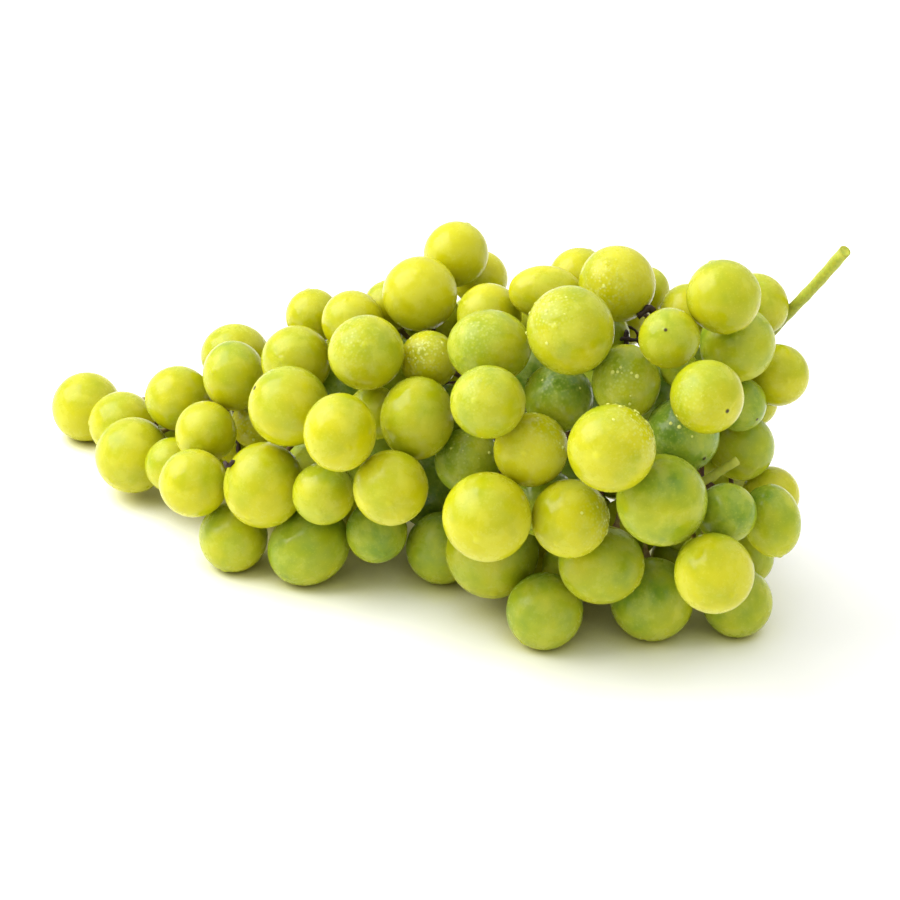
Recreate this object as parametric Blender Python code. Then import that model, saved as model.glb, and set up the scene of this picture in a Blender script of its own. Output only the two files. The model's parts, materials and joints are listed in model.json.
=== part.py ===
# Bunch of green grapes lying on its side: main stem, sprays of berries, stalk rising at the wide end.
#
# Lengths in the layout are millimetres. The bunch lies along X, tip at -X, stalk end at +X, on Z = 0.
# The berries that show from one side are given by where they show from there; the rest are filled in
# by rule behind them. Every stalk then takes the shortest free way from its berry to the main stem.

import heapq
import math
import random

import bmesh
import bpy
import numpy as np
from mathutils import Matrix, Vector

MM = 0.001

# Where the bunch is looked at from: degrees round from the front, degrees up, and how far off.
SIGHT_AZIMUTH = 28.0
SIGHT_RISE = 28.0
SIGHT_DISTANCE = 700.0
LOOK_AT = np.array([-7.0, -10.0, 40.0])

# Berries: air between two of them, how far a lying one is pressed flat, how far each layer hangs back,
# and how a pair that overlaps is slid apart: share of the nearer one, rounds at most, and when it is done.
BERRY_GAP = 0.45
SINK = 0.5
LAYER_DEPTH = 2.0
DEPTH_RANGE = (-160.0, 200.0)
FRONT_GIVES = 0.35
SLIDE_ROUNDS = 400
SLIDE_REACH = 3.0
SETTLED = 0.02

# Sections through the bunch: x, middle y, middle z, half width, half height.
SECTIONS = np.array([
    (-134.0, 20.0, 11.0, 11.0, 10.0),
    (-110.0, 17.0, 17.0, 22.0, 17.0),
    (-80.0, 12.0, 26.0, 34.0, 26.0),
    (-40.0, 8.0, 37.0, 43.0, 37.0),
    (0.0, 8.0, 43.0, 50.0, 43.0),
    (40.0, 8.0, 46.0, 52.0, 46.0),
    (68.0, 10.0, 46.0, 46.0, 45.0),
    (90.0, 12.0, 42.0, 30.0, 32.0),
])
THINNEST = 0.5
END_ROOM = 10.0

# Berries that show, layer by layer from the nearest: across, up, diameter, and for oval ones how much
# longer than wide, and how far the long way leans from level.
FRONT_LAYER = [
    (9.3, -16.8, 22.0), (40.3, 0.5, 22.0), (30.0, -17.0, 19.5), (66.0, -30.8, 20.0), (9.5, 12.0, 18.5),
    (64.3, 13.1, 18.3), (30.1, 29.9, 22.0), (54.8, 28.0, 15.0), (68.5, 38.3, 18.5), (-7.5, 39.0, 18.5),
    (-27.5, 4.3, 18.8, 1.08, 90), (-14.8, -9.5, 18.8),
]
SECOND_LAYER = [
    (20.3, 0.0, 18.5), (-8.0, 8.0, 19.5, 1.15, 85), (-21.0, 24.4, 18.8), (-40.3, 11.0, 20.0),
    (-31.6, -11.0, 15.5), (52.8, -12.5, 22.8), (37.8, -28.5, 20.5, 1.1, 0), (9.9, 25.8, 19.6, 1.12, 0),
    (44.0, 17.0, 18.0, 1.1, 90), (1.6, 48.9, 15.9), (41.8, 41.5, 19.0), (71.8, 26.5, 19.0),
]
THIRD_LAYER = [
    (-46.5, -8.8, 20.5, 1.08, 90), (-64.1, -8.3, 17.0), (-61.1, 4.5, 15.3), (-69.5, -3.8, 13.5),
    (-79.3, -1.3, 18.5), (-18.3, -20.5, 15.3),
    (23.8, -40.3, 19.0), (50.5, -37.3, 20.5), (71.8, -38.0, 17.5), (69.1, -15.8, 15.0), (58.1, 3.8, 18.5),
    (72.3, 11.5, 13.5), (77.1, 36.6, 14.9, 1.1, 130), (59.5, 34.5, 14.0), (49.0, 40.0, 11.6),
    (23.8, 39.5, 15.4, 1.4, 0), (9.8, 33.5, 16.0), (4.5, -2.8, 16.5), (27.0, 13.0, 17.3), (-5.3, 22.5, 14.3),
    (-19.0, 9.3, 13.5), (-24.3, 32.1, 15.5), (-38.4, 22.3, 17.3), (-54.0, 18.5, 16.3, 1.12, 95),
]
FOURTH_LAYER = [
    (-82.0, 6.6, 16.0), (-54.1, -21.8, 17.0), (-35.3, -24.1, 19.7, 1.1, 30), (10.8, -25.3, 23.0),
    (80.3, -17.6, 16.2, 1.25, 100), (72.8, 0.8, 16.5), (82.0, 18.6, 15.3), (32.3, 43.0, 15.0),
    (25.5, 33.0, 16.0), (7.4, 43.0, 13.8), (-34.2, 33.4, 13.5), (-53.6, 23.6, 16.5, 1.08, 0),
    (-68.0, 12.9, 16.3), (-48.5, 6.5, 12.5), (-15.3, 36.0, 12.5),
]
DEEPEST_LAYER = [
    (-90.9, 10.8, 17.0), (-2.0, -24.5, 18.0), (80.2, -11.3, 14.2), (74.3, -26.8, 13.2), (-4.3, -10.5, 18.0),
    (-26.3, 15.0, 15.0), (-71.8, 3.7, 9.5), (75.8, 12.0, 12.0), (0.5, 9.5, 14.0),
    (-54.2, 2.5, 11.0), (35.6, 14.0, 12.0), (63.5, -3.5, 10.0), (57.3, 20.3, 9.5),
]
LAYERS = (FRONT_LAYER, SECOND_LAYER, THIRD_LAYER, FOURTH_LAYER, DEEPEST_LAYER)

# Those of them that lie on the table, by across and up.
LYING = (
    (23.8, -40.3), (50.5, -37.3), (71.8, -38.0), (-54.1, -21.8), (-35.3, -24.1), (-90.9, 10.8),
    (-2.0, -24.5),
)

# Hidden berries: how many at most, their sizes, the step between places tried and how far those go, how
# far one may bulge out of the form, how many neighbours it leans on, and the seed of the draw.
HIDDEN_LIMIT = 50
HIDDEN_RADII = (7.6, 8.3, 9.0)
HIDDEN_STEP = 3.0
HIDDEN_DEPTHS = (-60.0, 75.0)
HIDDEN_TOP = 100.0
HIDDEN_BULGE = 1.0
NEIGHBOURS = 3
HIDDEN_SEED = 7

# How a hidden berry may show: spots looked at on its face, the widest gap that one may fill, the share of
# its face that may show anywhere else, and what draws it low, outward and to gaps.
FACE_SPOTS = 18
FACE_INNER_RING = 0.55
OUTLINE_STEP = 0.5
GAP_WIDTH = 11.0
STRAY_LIMIT = 0.02
LOW_WEIGHT = 0.05
OUTER_WEIGHT = 16.0
GAP_WEIGHT = 90.0

# Main stem: across, up and further than the sight point where the stalk shows, and stops inside the bunch.
STALK = [(77.0, 26.8, 2.0), (84.3, 34.0, -8.0), (91.6, 41.6, -17.0), (98.8, 49.8, -28.0)]
RACHIS_STOPS = 24
RACHIS_ENDS = (-112.0, 48.0)
RACHIS_BEND_AT = (-112.0, -60.0, 10.0, 48.0)
RACHIS_SIDEWAYS = (0.0, 0.9, 2.0, 8.0)
RACHIS_LIFT = (-2.0, 0.0, 4.0, 12.0)
RACHIS_ROUNDS = 300
RACHIS_STIFFNESS = 0.4
RACHIS_PUSH = 0.7
RACHIS_ROOM = 3.2
RACHIS_RADII = (0.9, 1.4)
STALK_RADIUS = 1.5

# Stub of a cut side branch, given like the stalk, from its hidden end to the cut.
STUB = [(60.0, -9.8, -18.0), (63.1, -8.0, -22.0), (71.9, -2.6, -25.0)]
STUB_RADIUS = 1.1
STUB_ROOM = 0.5

# Where side branches leave the main stem: spacing and turn along it, how much of its ends stays bare,
# how far off its middle they start and pass, and what a first place is chosen by.
ROOT_SPACING = 12.5
ROOT_TURN = math.radians(137.5)
ROOT_END = 2.0
ROOT_OFFSET = 2.95
ROOT_ZONE = (3.6, 6.5)
ROOT_SEARCH = 8.0
ROOT_TURN_WEIGHT = 6.0
ROOT_CLEAR_WEIGHT = 2.0
ROOT_CLEAR_MOST = 3.0

# Free places for branches: step of their grid, room kept from skin and table, how far out of the bunch
# they go, and how much harder a tight place or one in plain sight is to pass.
GRID = 2.0
BRANCH_ROOM = 1.35
TABLE_EXTRA = 0.3
EDGE_INSET = 4.0
EDGE_LIMIT = 0.12
TIGHT_BELOW = 2.4
TIGHT_WEIGHT = 1.2
TIGHT_MOST = 2.0
WANDER = 0.5
IN_SIGHT_WEIGHT = 3.0

# Berry stalks: how far off they may join, room kept, how far they go into the berry, and what a place to
# join is chosen by.
PEDICEL_SEARCH = (7.0, 15.0)
PEDICEL_LEAST = 0.8
PEDICEL_ROOM = 1.1
PEDICEL_SINK = 2.5
PEDICEL_CHECKS = 7
PEDICEL_TRIES = 60
PEDICEL_LENGTH_WEIGHT = 1.5
PEDICEL_INWARD_WEIGHT = 6.0

# Smoothing of the branches: rounds, the share moved in each, room kept, and how straight is straight.
EASE_ROUNDS = 60
EASE_SHARE = 0.5
EASE_ROOM = 1.5
STEM_ROOM = 3.2
SPRAY_ROOM = 3.4
STRAIGHTEN = 0.5

# How thick branches are: of one berry's stalk, more for each berry carried, and at most.
BRANCH_RADIUS = 0.55
BRANCH_GROWTH = 0.09
BRANCH_POWER = 0.8
BRANCH_MAX_RADIUS = 1.05

# Shares and ways that are no size of the bunch.
TINY = 1e-9
FAR_OFF = 1e9
ANY_WAY = (0.31, 0.17, 0.93)

# Facets and colours.
BALL_SUBDIVISIONS = 2
BRANCH_SIDES = 4
STEM_SIDES = 8
CUT_TOLERANCE = 1e-7
SLIVER_CORNERS = 20
BERRY_COLOUR = (0.62, 0.66, 0.05, 1.0)
BERRY_ROUGHNESS = 0.35
STEM_COLOUR = (0.42, 0.47, 0.08, 1.0)
STEM_ROUGHNESS = 0.6


class Berries:
    """Centres, short and long half sizes and long ways of the berries."""

    def __init__(self, centres, small, large, ways):
        self.centres = np.array(centres, float)
        self.small = np.array(small, float)
        self.large = np.array(large, float)
        self.ways = np.array(ways, float)

    def __len__(self):
        return len(self.small)

    def add(self, centre, radius):
        self.centres = np.vstack([self.centres, centre])
        self.small = np.append(self.small, radius)
        self.large = np.append(self.large, radius)
        self.ways = np.vstack([self.ways, (0.0, 0.0, 1.0)])

    def reach(self, k, directions):
        """How far berry k reaches from its middle along unit directions (n, 3)."""
        along = directions @ self.ways[k]
        return np.sqrt(self.small[k] ** 2 + (self.large[k] ** 2 - self.small[k] ** 2) * along ** 2)

    def gap(self, k, points):
        """How far points (n, 3) are from the skin of berry k, and the ways out of it."""
        away = points - self.centres[k]
        far = np.maximum(np.linalg.norm(away, axis=1), TINY)
        out = away / far[:, None]
        return far - self.reach(k, out), out


def unit(vector):
    return vector / max(float(np.linalg.norm(vector)), TINY)


def sight():
    """The eye, and the ways right, up and ahead as seen from it."""
    azimuth = math.radians(SIGHT_AZIMUTH)
    rise = math.radians(SIGHT_RISE)
    back = np.array([
        math.sin(azimuth) * math.cos(rise),
        -math.cos(azimuth) * math.cos(rise),
        math.sin(rise),
    ])
    right = np.array([math.cos(azimuth), math.sin(azimuth), 0.0])
    return LOOK_AT + back * SIGHT_DISTANCE, right, np.cross(back, right), -back


def seen_point(across, up, further):
    """The place that shows at across and up, so much further off than the sight point."""
    eye, right_way, up_way, ahead = sight()
    ray = ahead + (right_way * across + up_way * up) / SIGHT_DISTANCE
    return eye + ray * (SIGHT_DISTANCE + further)


def outside(points, inset):
    """Below 0 where points (n, 3) keep at least the inset from the bunch's outer form."""
    x = points[:, 0]
    y, z, wide, high = [np.interp(x, SECTIONS[:, 0], SECTIONS[:, k]) for k in range(1, 5)]
    wide = np.maximum(wide - inset, THINNEST)
    high = np.maximum(high - inset, THINNEST)
    past_end = np.maximum(SECTIONS[0, 0] + inset - x, x - SECTIONS[-1, 0] + inset).clip(0)
    return np.hypot((points[:, 1] - y) / wide, (points[:, 2] - z) / high) - 1 + past_end / END_ROOM


def first_depths():
    """The berries that show, as rays and sizes at the sight point, with a first distance for each."""
    eye, right_way, up_way, ahead = sight()
    steps = SIGHT_DISTANCE + np.arange(*DEPTH_RANGE)
    rows = []
    for layer, berries in enumerate(LAYERS):
        for across, up, wide, *oval in berries:
            stretch, lean = oval or (1.0, 0.0)
            small = wide / 2 / math.sqrt(stretch)
            ray = ahead + (right_way * across + up_way * up) / SIGHT_DISTANCE
            lies = (across, up) in LYING
            on_table = (eye[2] + SINK) / (wide / 2 / SIGHT_DISTANCE - ray[2])
            within = outside(eye + steps[:, None] * ray, wide / 2)
            hits = np.nonzero(within <= 0)[0]
            place = hits[0] if len(hits) else int(np.argmin(within))
            depth = on_table if lies else min(steps[place] + LAYER_DEPTH * layer, on_table)
            lean = math.radians(lean)
            way = right_way * math.cos(lean) + up_way * math.sin(lean)
            rows.append((ray, small, small * stretch, way, depth, on_table, lies))
    return [np.array(column) for column in zip(*rows)]


def seen_berries():
    """Slides the berries that show along their sight rays until all are clear, keeping who is in front."""
    eye = sight()[0]
    rays, small, large, ways, depth, on_table, lies = first_depths()
    apart = np.linalg.norm(rays[:, None] - rays[None], axis=2) * SIGHT_DISTANCE
    touching = apart < large[:, None] + large[None] + SLIDE_REACH
    pairs = [(i, j) for i in range(len(small)) for j in range(i + 1, len(small)) if touching[i, j]]
    shown = Berries(eye + rays * depth[:, None], small, large, ways)
    for _ in range(SLIDE_ROUNDS):
        worst = 0.0
        for i, j in pairs:
            centre_i = eye + rays[i] * depth[i]
            centre_j = eye + rays[j] * depth[j]
            across = unit(centre_j - centre_i)[None]
            need = BERRY_GAP
            need += shown.reach(i, across)[0] * depth[i] / SIGHT_DISTANCE
            need += shown.reach(j, across)[0] * depth[j] / SIGHT_DISTANCE
            behind = depth[j] - depth[i]
            sideways = max(float(np.sum((centre_i - centre_j) ** 2)) - behind ** 2, 0.0)
            if sideways >= need ** 2:
                continue
            short = math.sqrt(need ** 2 - sideways) - behind
            if short <= 0:
                continue
            share = FRONT_GIVES
            if lies[j] or depth[j] + short * (1 - share) > on_table[j]:
                share = 1.0
            if lies[i]:
                share = 0.0
            depth[i] -= short * share
            depth[j] += short * (1 - share)
            worst = max(worst, short)
        if worst < SETTLED:
            break
    scale = depth / SIGHT_DISTANCE
    return Berries(eye + rays * depth[:, None], small * scale, large * scale, ways)


def skin_gap(points, berries):
    """How far each point (n, 3) is from the nearest berry."""
    best = np.full(len(points), FAR_OFF)
    for k in range(len(berries)):
        best = np.minimum(best, berries.gap(k, points)[0])
    return best


def line_gap(points, line):
    """How far each point (n, 3) is from a chain of points, and the ways off it."""
    best = np.full(len(points), FAR_OFF)
    off = np.zeros((len(points), 3))
    for a, b in zip(line[:-1], line[1:]):
        ab = b - a
        t = ((points - a) @ ab / max(ab @ ab, TINY)).clip(0, 1)
        away = points - a - t[:, None] * ab
        far = np.linalg.norm(away, axis=1)
        nearer = far < best
        best[nearer] = far[nearer]
        off[nearer] = away[nearer]
    return best, off / np.maximum(best, TINY)[:, None]


def stem_line(berries):
    """The main stem: from the tip through the middle, bent clear of the berries, then up and out."""
    x = np.linspace(*RACHIS_ENDS, RACHIS_STOPS)
    y = np.interp(x, SECTIONS[:, 0], SECTIONS[:, 1]) + np.interp(x, RACHIS_BEND_AT, RACHIS_SIDEWAYS)
    z = np.interp(x, SECTIONS[:, 0], SECTIONS[:, 2]) + np.interp(x, RACHIS_BEND_AT, RACHIS_LIFT)
    stalk = np.array([seen_point(*stop) for stop in STALK])
    line = np.concatenate([np.stack([x, y, z], axis=1), stalk])
    for _ in range(RACHIS_ROUNDS):
        push = np.zeros_like(line)
        push[1:-1] = RACHIS_STIFFNESS * ((line[:-2] + line[2:]) / 2 - line[1:-1])
        for k in range(len(berries)):
            gap, out = berries.gap(k, line)
            push += out * (RACHIS_PUSH * (RACHIS_ROOM - gap).clip(0))[:, None]
        line[:RACHIS_STOPS] += push[:RACHIS_STOPS]
    return line


def as_seen(points, radius):
    """Where points (n, 3) show across and up, how large a radius there shows, and how far off they are."""
    eye, right_way, up_way, ahead = sight()
    away = points - eye
    depth = away @ ahead
    scale = SIGHT_DISTANCE / depth
    return away @ right_way * scale, away @ up_way * scale, radius * scale, depth


def face_spots():
    """Spots over the face of a berry, as shares of its radius across and up."""
    spots = [(0.0, 0.0)]
    for k in range(FACE_SPOTS):
        angle = math.tau * k / FACE_SPOTS
        for out in (1.0, FACE_INNER_RING):
            spots.append((out * math.cos(angle), out * math.sin(angle)))
    return np.array(spots)


class Picture:
    """Which spots of the sight the berries that show cover, and which lie in a gap between them."""

    def __init__(self, berries):
        across, up, size, _ = as_seen(berries.centres, berries.small)
        self.low = np.array([(across - size).min(), (up - size).min()]) - GAP_WIDTH
        high = np.array([(across + size).max(), (up + size).max()]) + GAP_WIDTH
        right, rise = [np.arange(a, b, OUTLINE_STEP) for a, b in zip(self.low, high)]
        self.shown = np.zeros((len(right), len(rise)), bool)
        for x, y, reach in zip(across, up, size):
            self.shown |= np.hypot(right[:, None] - x, rise[None] - y) < reach
        self.gaps = ~self.shown
        for way in ((1, 0), (-1, 0), (0, 1), (0, -1), (1, 1), (1, -1), (-1, 1), (-1, -1)):
            met = self.shown.copy()
            for far in range(1, int(GAP_WIDTH / OUTLINE_STEP)):
                met |= np.roll(self.shown, (far * way[0], far * way[1]), axis=(0, 1))
            self.gaps &= met

    def look_up(self, kind, across, up):
        """What one of the two maps says at places across and up."""
        last = np.array(kind.shape) - 1
        right = ((across - self.low[0]) / OUTLINE_STEP).round().astype(int).clip(0, last[0])
        rise = ((up - self.low[1]) / OUTLINE_STEP).round().astype(int).clip(0, last[1])
        return kind[right, rise]


class Sites:
    """Places where a hidden berry of one size fits, and what of its face would fill a gap."""

    def __init__(self, berries, line, stub, radius, picture):
        self.radius = radius
        steps = [
            np.arange(SECTIONS[0, 0], SECTIONS[-1, 0], HIDDEN_STEP),
            np.arange(*HIDDEN_DEPTHS, HIDDEN_STEP),
            np.arange(radius - SINK, HIDDEN_TOP, HIDDEN_STEP),
        ]
        places = np.stack(np.meshgrid(*steps, indexing="ij"), axis=-1).reshape(-1, 3)
        places = places[outside(places, radius - HIDDEN_BULGE) < 0]
        places = places[line_gap(places, line)[0] > radius + RACHIS_ROOM]
        places = places[line_gap(places, stub)[0] > radius + STUB_RADIUS + STUB_ROOM]
        places = places[skin_gap(places, berries) > radius + BERRY_GAP]
        across, up, size, depth = as_seen(places, radius)
        spots = face_spots()
        self.across = across[:, None] + size[:, None] * spots[:, 0]
        self.up = up[:, None] + size[:, None] * spots[:, 1]
        self.bare = np.ones(self.across.shape, bool)
        for k in range(len(berries)):
            self.cover(berries, k, depth)
        stray = self.bare & ~picture.look_up(picture.gaps, self.across, self.up)
        kept = stray.mean(axis=1) <= STRAY_LIMIT
        self.places = places[kept]
        self.across = self.across[kept]
        self.up = self.up[kept]
        self.bare = self.bare[kept]
        near = np.stack([berries.gap(k, self.places)[0] for k in range(len(berries))])
        self.near = np.sort(near, axis=0)[:NEIGHBOURS]

    def cover(self, berries, k, depth=None):
        """Takes off what berry k covers, where it is nearer than the depth if one is given."""
        across, up, size, far = as_seen(berries.centres[k:k + 1], berries.small[k])
        hides = np.hypot(self.across - across, self.up - up) < size
        if depth is not None:
            hides &= (far < depth)[:, None]
        self.bare &= ~hides

    def best(self):
        """The place closest to its neighbours, to gaps that show and to the outside, or None."""
        loose = self.near.sum(axis=0) + LOW_WEIGHT * self.places[:, 2]
        loose -= OUTER_WEIGHT * outside(self.places, self.radius) + GAP_WEIGHT * self.bare.mean(axis=1)
        loose[self.near[0] < self.radius + BERRY_GAP] = np.inf
        place = int(np.argmin(loose))
        return self.places[place] if np.isfinite(loose[place]) else None

    def take(self, berries):
        """Takes the last berry into account."""
        last = len(berries) - 1
        new = berries.gap(last, self.places)[0]
        self.near = np.sort(np.vstack([self.near, new]), axis=0)[:NEIGHBOURS]
        self.cover(berries, last)


def add_hidden(berries, line, stub, picture):
    """Fills the gaps, the far side and the inside, each berry where it lies closest to its neighbours."""
    draw = random.Random(HIDDEN_SEED)
    sites = [Sites(berries, line, stub, radius, picture) for radius in HIDDEN_RADII]
    for _ in range(HIDDEN_LIMIT):
        own = sites[draw.randrange(len(sites))]
        place = own.best()
        if place is None:
            continue
        berries.add(place, own.radius)
        for other in sites:
            other.take(berries)
    return berries


def stations(line):
    """Where side branches leave the main stem: points, ways along the stem, and ways they face."""
    along = np.concatenate([[0], np.cumsum(np.linalg.norm(np.diff(line, axis=0), axis=1))])
    last = along[RACHIS_STOPS - 1] - ROOT_END
    found = []
    for k in range(int((last - 2 * ROOT_END) // ROOT_SPACING) + 1):
        at = (last - k * ROOT_SPACING, last - k * ROOT_SPACING + ROOT_END)
        point, beyond = [np.array([np.interp(s, along, line[:, j]) for j in range(3)]) for s in at]
        forward = unit(beyond - point)
        side = unit(np.cross(forward, (0.0, 0.0, 1.0)))
        top = np.cross(side, forward)
        turn = k * ROOT_TURN
        found.append((point, forward, side * math.cos(turn) + top * math.sin(turn)))
    return found


class Room:
    """The grid of places where side branches may run."""

    def __init__(self, berries, line, stub, picture):
        reach = berries.large[:, None]
        low = (berries.centres - reach).min(axis=0)
        high = (berries.centres + reach).max(axis=0)
        self.counts = np.ceil((high - low) / GRID).astype(int) + 1
        steps = np.meshgrid(*[np.arange(n) for n in self.counts], indexing="ij")
        self.points = low + np.stack(steps, axis=-1).reshape(-1, 3) * GRID
        self.clear = np.minimum(skin_gap(self.points, berries), self.points[:, 2] + TABLE_EXTRA)
        self.from_stem = line_gap(self.points, line)[0]
        inner = np.zeros(self.counts, bool)
        inner[1:-1, 1:-1, 1:-1] = True
        self.free = inner.reshape(-1) & (self.clear >= BRANCH_ROOM) & (self.from_stem >= ROOT_ZONE[0])
        self.free &= outside(self.points, EDGE_INSET) <= EDGE_LIMIT
        self.free &= line_gap(self.points, stub)[0] > STUB_RADIUS + BRANCH_ROOM
        across, up, _, _ = as_seen(self.points, GRID)
        self.free &= picture.look_up(picture.shown | picture.gaps, across, up)
        wander = np.random.RandomState(HIDDEN_SEED).uniform(1, 1 + WANDER, len(self.clear))
        self.effort = (1 + TIGHT_WEIGHT * (TIGHT_BELOW - self.clear).clip(0, TIGHT_MOST)) * wander
        self.effort[self.in_sight(berries)] *= IN_SIGHT_WEIGHT

    def in_sight(self, berries):
        """Whether each place shows between the berries."""
        across, up, _, depth = as_seen(self.points, GRID)
        shows = np.ones(len(self.points), bool)
        for berry_across, berry_up, radius, berry_depth in zip(*as_seen(berries.centres, berries.small)):
            far = np.hypot(across - berry_across, up - berry_up)
            shows &= (far > radius) | (depth < berry_depth)
        return shows

    def spread(self, free, seeds, only=None):
        """Easiest ways from one seed a spray: how long, from which place, and for which spray."""
        total = len(free)
        cost = np.full(total, np.inf)
        came = np.full(total, -1)
        owner = np.full(total, -1)
        wide, high = int(self.counts[1]), int(self.counts[2])
        moves = []
        for i, j, k in np.ndindex(3, 3, 3):
            if (i, j, k) != (1, 1, 1):
                jump = ((i - 1) * wide + j - 1) * high + k - 1
                moves.append((jump, GRID * math.dist((i, j, k), (1, 1, 1)) / 2))
        queue = []
        for spray, seed in enumerate(seeds):
            cost[seed] = 0
            owner[seed] = spray
            heapq.heappush(queue, (0.0, seed))
        while queue:
            spent, place = heapq.heappop(queue)
            if spent > cost[place]:
                continue
            for jump, length in moves:
                other = place + jump
                if not free[other] or (only is not None and only[other] != owner[place]):
                    continue
                new = spent + length * (self.effort[place] + self.effort[other])
                if new < cost[other]:
                    cost[other] = new
                    came[other] = place
                    owner[other] = owner[place]
                    heapq.heappush(queue, (new, other))
        return cost, came, owner

    def borders(self, owner):
        """Places next to those of another spray."""
        grid = owner.reshape(self.counts)
        border = np.zeros(self.counts, bool)
        for axis in range(3):
            ahead = [slice(None)] * 3
            behind = [slice(None)] * 3
            ahead[axis] = slice(1, None)
            behind[axis] = slice(None, -1)
            one, other = grid[tuple(ahead)], grid[tuple(behind)]
            differ = (one != other) & (one >= 0) & (other >= 0)
            border[tuple(ahead)] |= differ
            border[tuple(behind)] |= differ
        return border.reshape(-1)

    def find_ways(self, roots):
        """Shares the free places out among the sprays, then finds the ways within each share."""
        seeds = []
        for point, _, facing in roots:
            away = self.points - point
            far = np.linalg.norm(away, axis=1)
            near = np.nonzero(self.free & (far < ROOT_SEARCH) & (self.from_stem < ROOT_ZONE[1]))[0]
            score = far[near] + ROOT_TURN_WEIGHT * (1 - away[near] @ facing / far[near])
            score -= ROOT_CLEAR_WEIGHT * self.clear[near].clip(0, ROOT_CLEAR_MOST)
            seeds.append(int(near[np.argmin(score)]))
        owner = self.spread(self.free.tolist(), seeds)[2]
        kept = self.free & ~self.borders(owner)
        kept[seeds] = True
        return (seeds,) + self.spread(kept.tolist(), seeds, owner)


def way_is_clear(a, b, berries, own):
    """Whether the straight way from a to b keeps clear of every berry but its own."""
    spots = a + np.linspace(0, 1, PEDICEL_CHECKS)[:, None] * (b - a)
    return all(k == own or berries.gap(k, spots)[0].min() >= PEDICEL_ROOM for k in range(len(berries)))


def join_place(room, cost, berries, line, centre, reach, own):
    """The free place that a stalk from this centre goes to, or None."""
    known = np.nonzero(np.isfinite(cost))[0]
    away = room.points[known] - centre
    far = np.linalg.norm(away, axis=1)
    inward = unit(line[np.argmin(np.linalg.norm(line[:RACHIS_STOPS] - centre, axis=1))] - centre)
    score = cost[known] + PEDICEL_LENGTH_WEIGHT * far * room.effort[known].clip(1, IN_SIGHT_WEIGHT)
    score += PEDICEL_INWARD_WEIGHT * (1 - away @ inward / np.maximum(far, TINY))
    for search in PEDICEL_SEARCH:
        near = np.nonzero((far > reach + PEDICEL_LEAST) & (far < reach + search))[0]
        for k in near[np.argsort(score[near])][:PEDICEL_TRIES]:
            start = centre + unit(away[k]) * reach
            if way_is_clear(start, room.points[known[k]], berries, own):
                return int(known[k])
    return None


class Tree:
    """The side branches of all sprays: points, what each hangs on, its spray and the berry it ends in."""

    def __init__(self):
        self.points = []
        self.parent = []
        self.spray = []
        self.berry = []
        self.held = []

    def add(self, point, parent, spray, berry=-1, held=False):
        self.points.append(np.array(point, float))
        self.parent.append(parent)
        self.spray.append(spray)
        self.berry.append(berry)
        self.held.append(held)
        return len(self.points) - 1


def grow(berries, line, stub, picture):
    """Joins every berry and the stub to the main stem's stations; berries with no way are left out."""
    room = Room(berries, line, stub, picture)
    roots = stations(line)
    seeds, cost, came, owner = room.find_ways(roots)
    tree = Tree()
    at_place = {}
    for spray, ((point, forward, _), seed) in enumerate(zip(roots, seeds)):
        away = room.points[seed] - point
        away = unit(away - forward * (away @ forward))
        root = tree.add(point + away * ROOT_OFFSET, -1, spray, held=True)
        at_place[seed] = tree.add(room.points[seed], root, spray)
    ends = [(berries.centres[k], berries.small[k], k) for k in range(len(berries))]
    ends.append((stub[0], 0.0, -1))
    for centre, reach, own in ends:
        join = join_place(room, cost, berries, line, centre, reach, own)
        if join is None:
            continue
        way = [join]
        while way[-1] not in at_place:
            way.append(int(came[way[-1]]))
        last = at_place[way.pop()]
        for place in reversed(way):
            last = tree.add(room.points[place], last, int(owner[join]))
            at_place[place] = last
        if own >= 0:
            end = centre + unit(room.points[join] - centre) * (reach - PEDICEL_SINK)
            tree.add(end, last, int(owner[join]), own, held=True)
        else:
            for stop in stub:
                last = tree.add(stop, last, int(owner[join]), held=True)
    return tree


def ease(tree, berries, line):
    """Smooths the branches, keeping them clear of berries, the main stem and other sprays."""
    points = np.array(tree.points)
    parent = np.array(tree.parent)
    spray = np.array(tree.spray)
    loose = ~np.array(tree.held)
    child = np.nonzero(parent >= 0)[0]
    kids = np.bincount(parent[child], minlength=len(points)).astype(float)
    for _ in range(EASE_ROUNDS):
        total = np.zeros_like(points)
        total[child] += points[parent[child]]
        np.add.at(total, parent[child], points[child] / kids[parent[child]][:, None])
        weight = (parent >= 0).astype(float) + (kids > 0)
        move = EASE_SHARE * (total / weight[:, None] - points)
        for k in range(len(berries)):
            gap, out = berries.gap(k, points)
            move += out * (EASE_ROOM - gap).clip(0)[:, None]
        gap, out = line_gap(points, line)
        move += out * (EASE_SHARE * (STEM_ROOM - gap).clip(0))[:, None]
        for own in range(spray.max() + 1):
            others = points[spray != own]
            mine = np.nonzero((spray == own) & loose)[0]
            away = points[mine][:, None] - others[None]
            far = np.maximum(np.linalg.norm(away, axis=2), TINY)
            short = (SPRAY_ROOM - far).clip(0)
            move[mine] += (away / far[..., None] * (EASE_SHARE * short)[..., None]).sum(axis=1)
        points[loose] += move[loose]
        points[loose, 2] = np.maximum(points[loose, 2], BRANCH_ROOM)
    return points


def straighten(points):
    """Leaves out the points of a chain that lie close to the straight way between their neighbours."""
    if len(points) < 3:
        return points
    gap = line_gap(points[1:-1], points[[0, -1]])[0]
    worst = int(np.argmax(gap))
    if gap[worst] < STRAIGHTEN:
        return points[[0, -1]]
    return np.concatenate([straighten(points[:worst + 2])[:-1], straighten(points[worst + 1:])])


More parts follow.
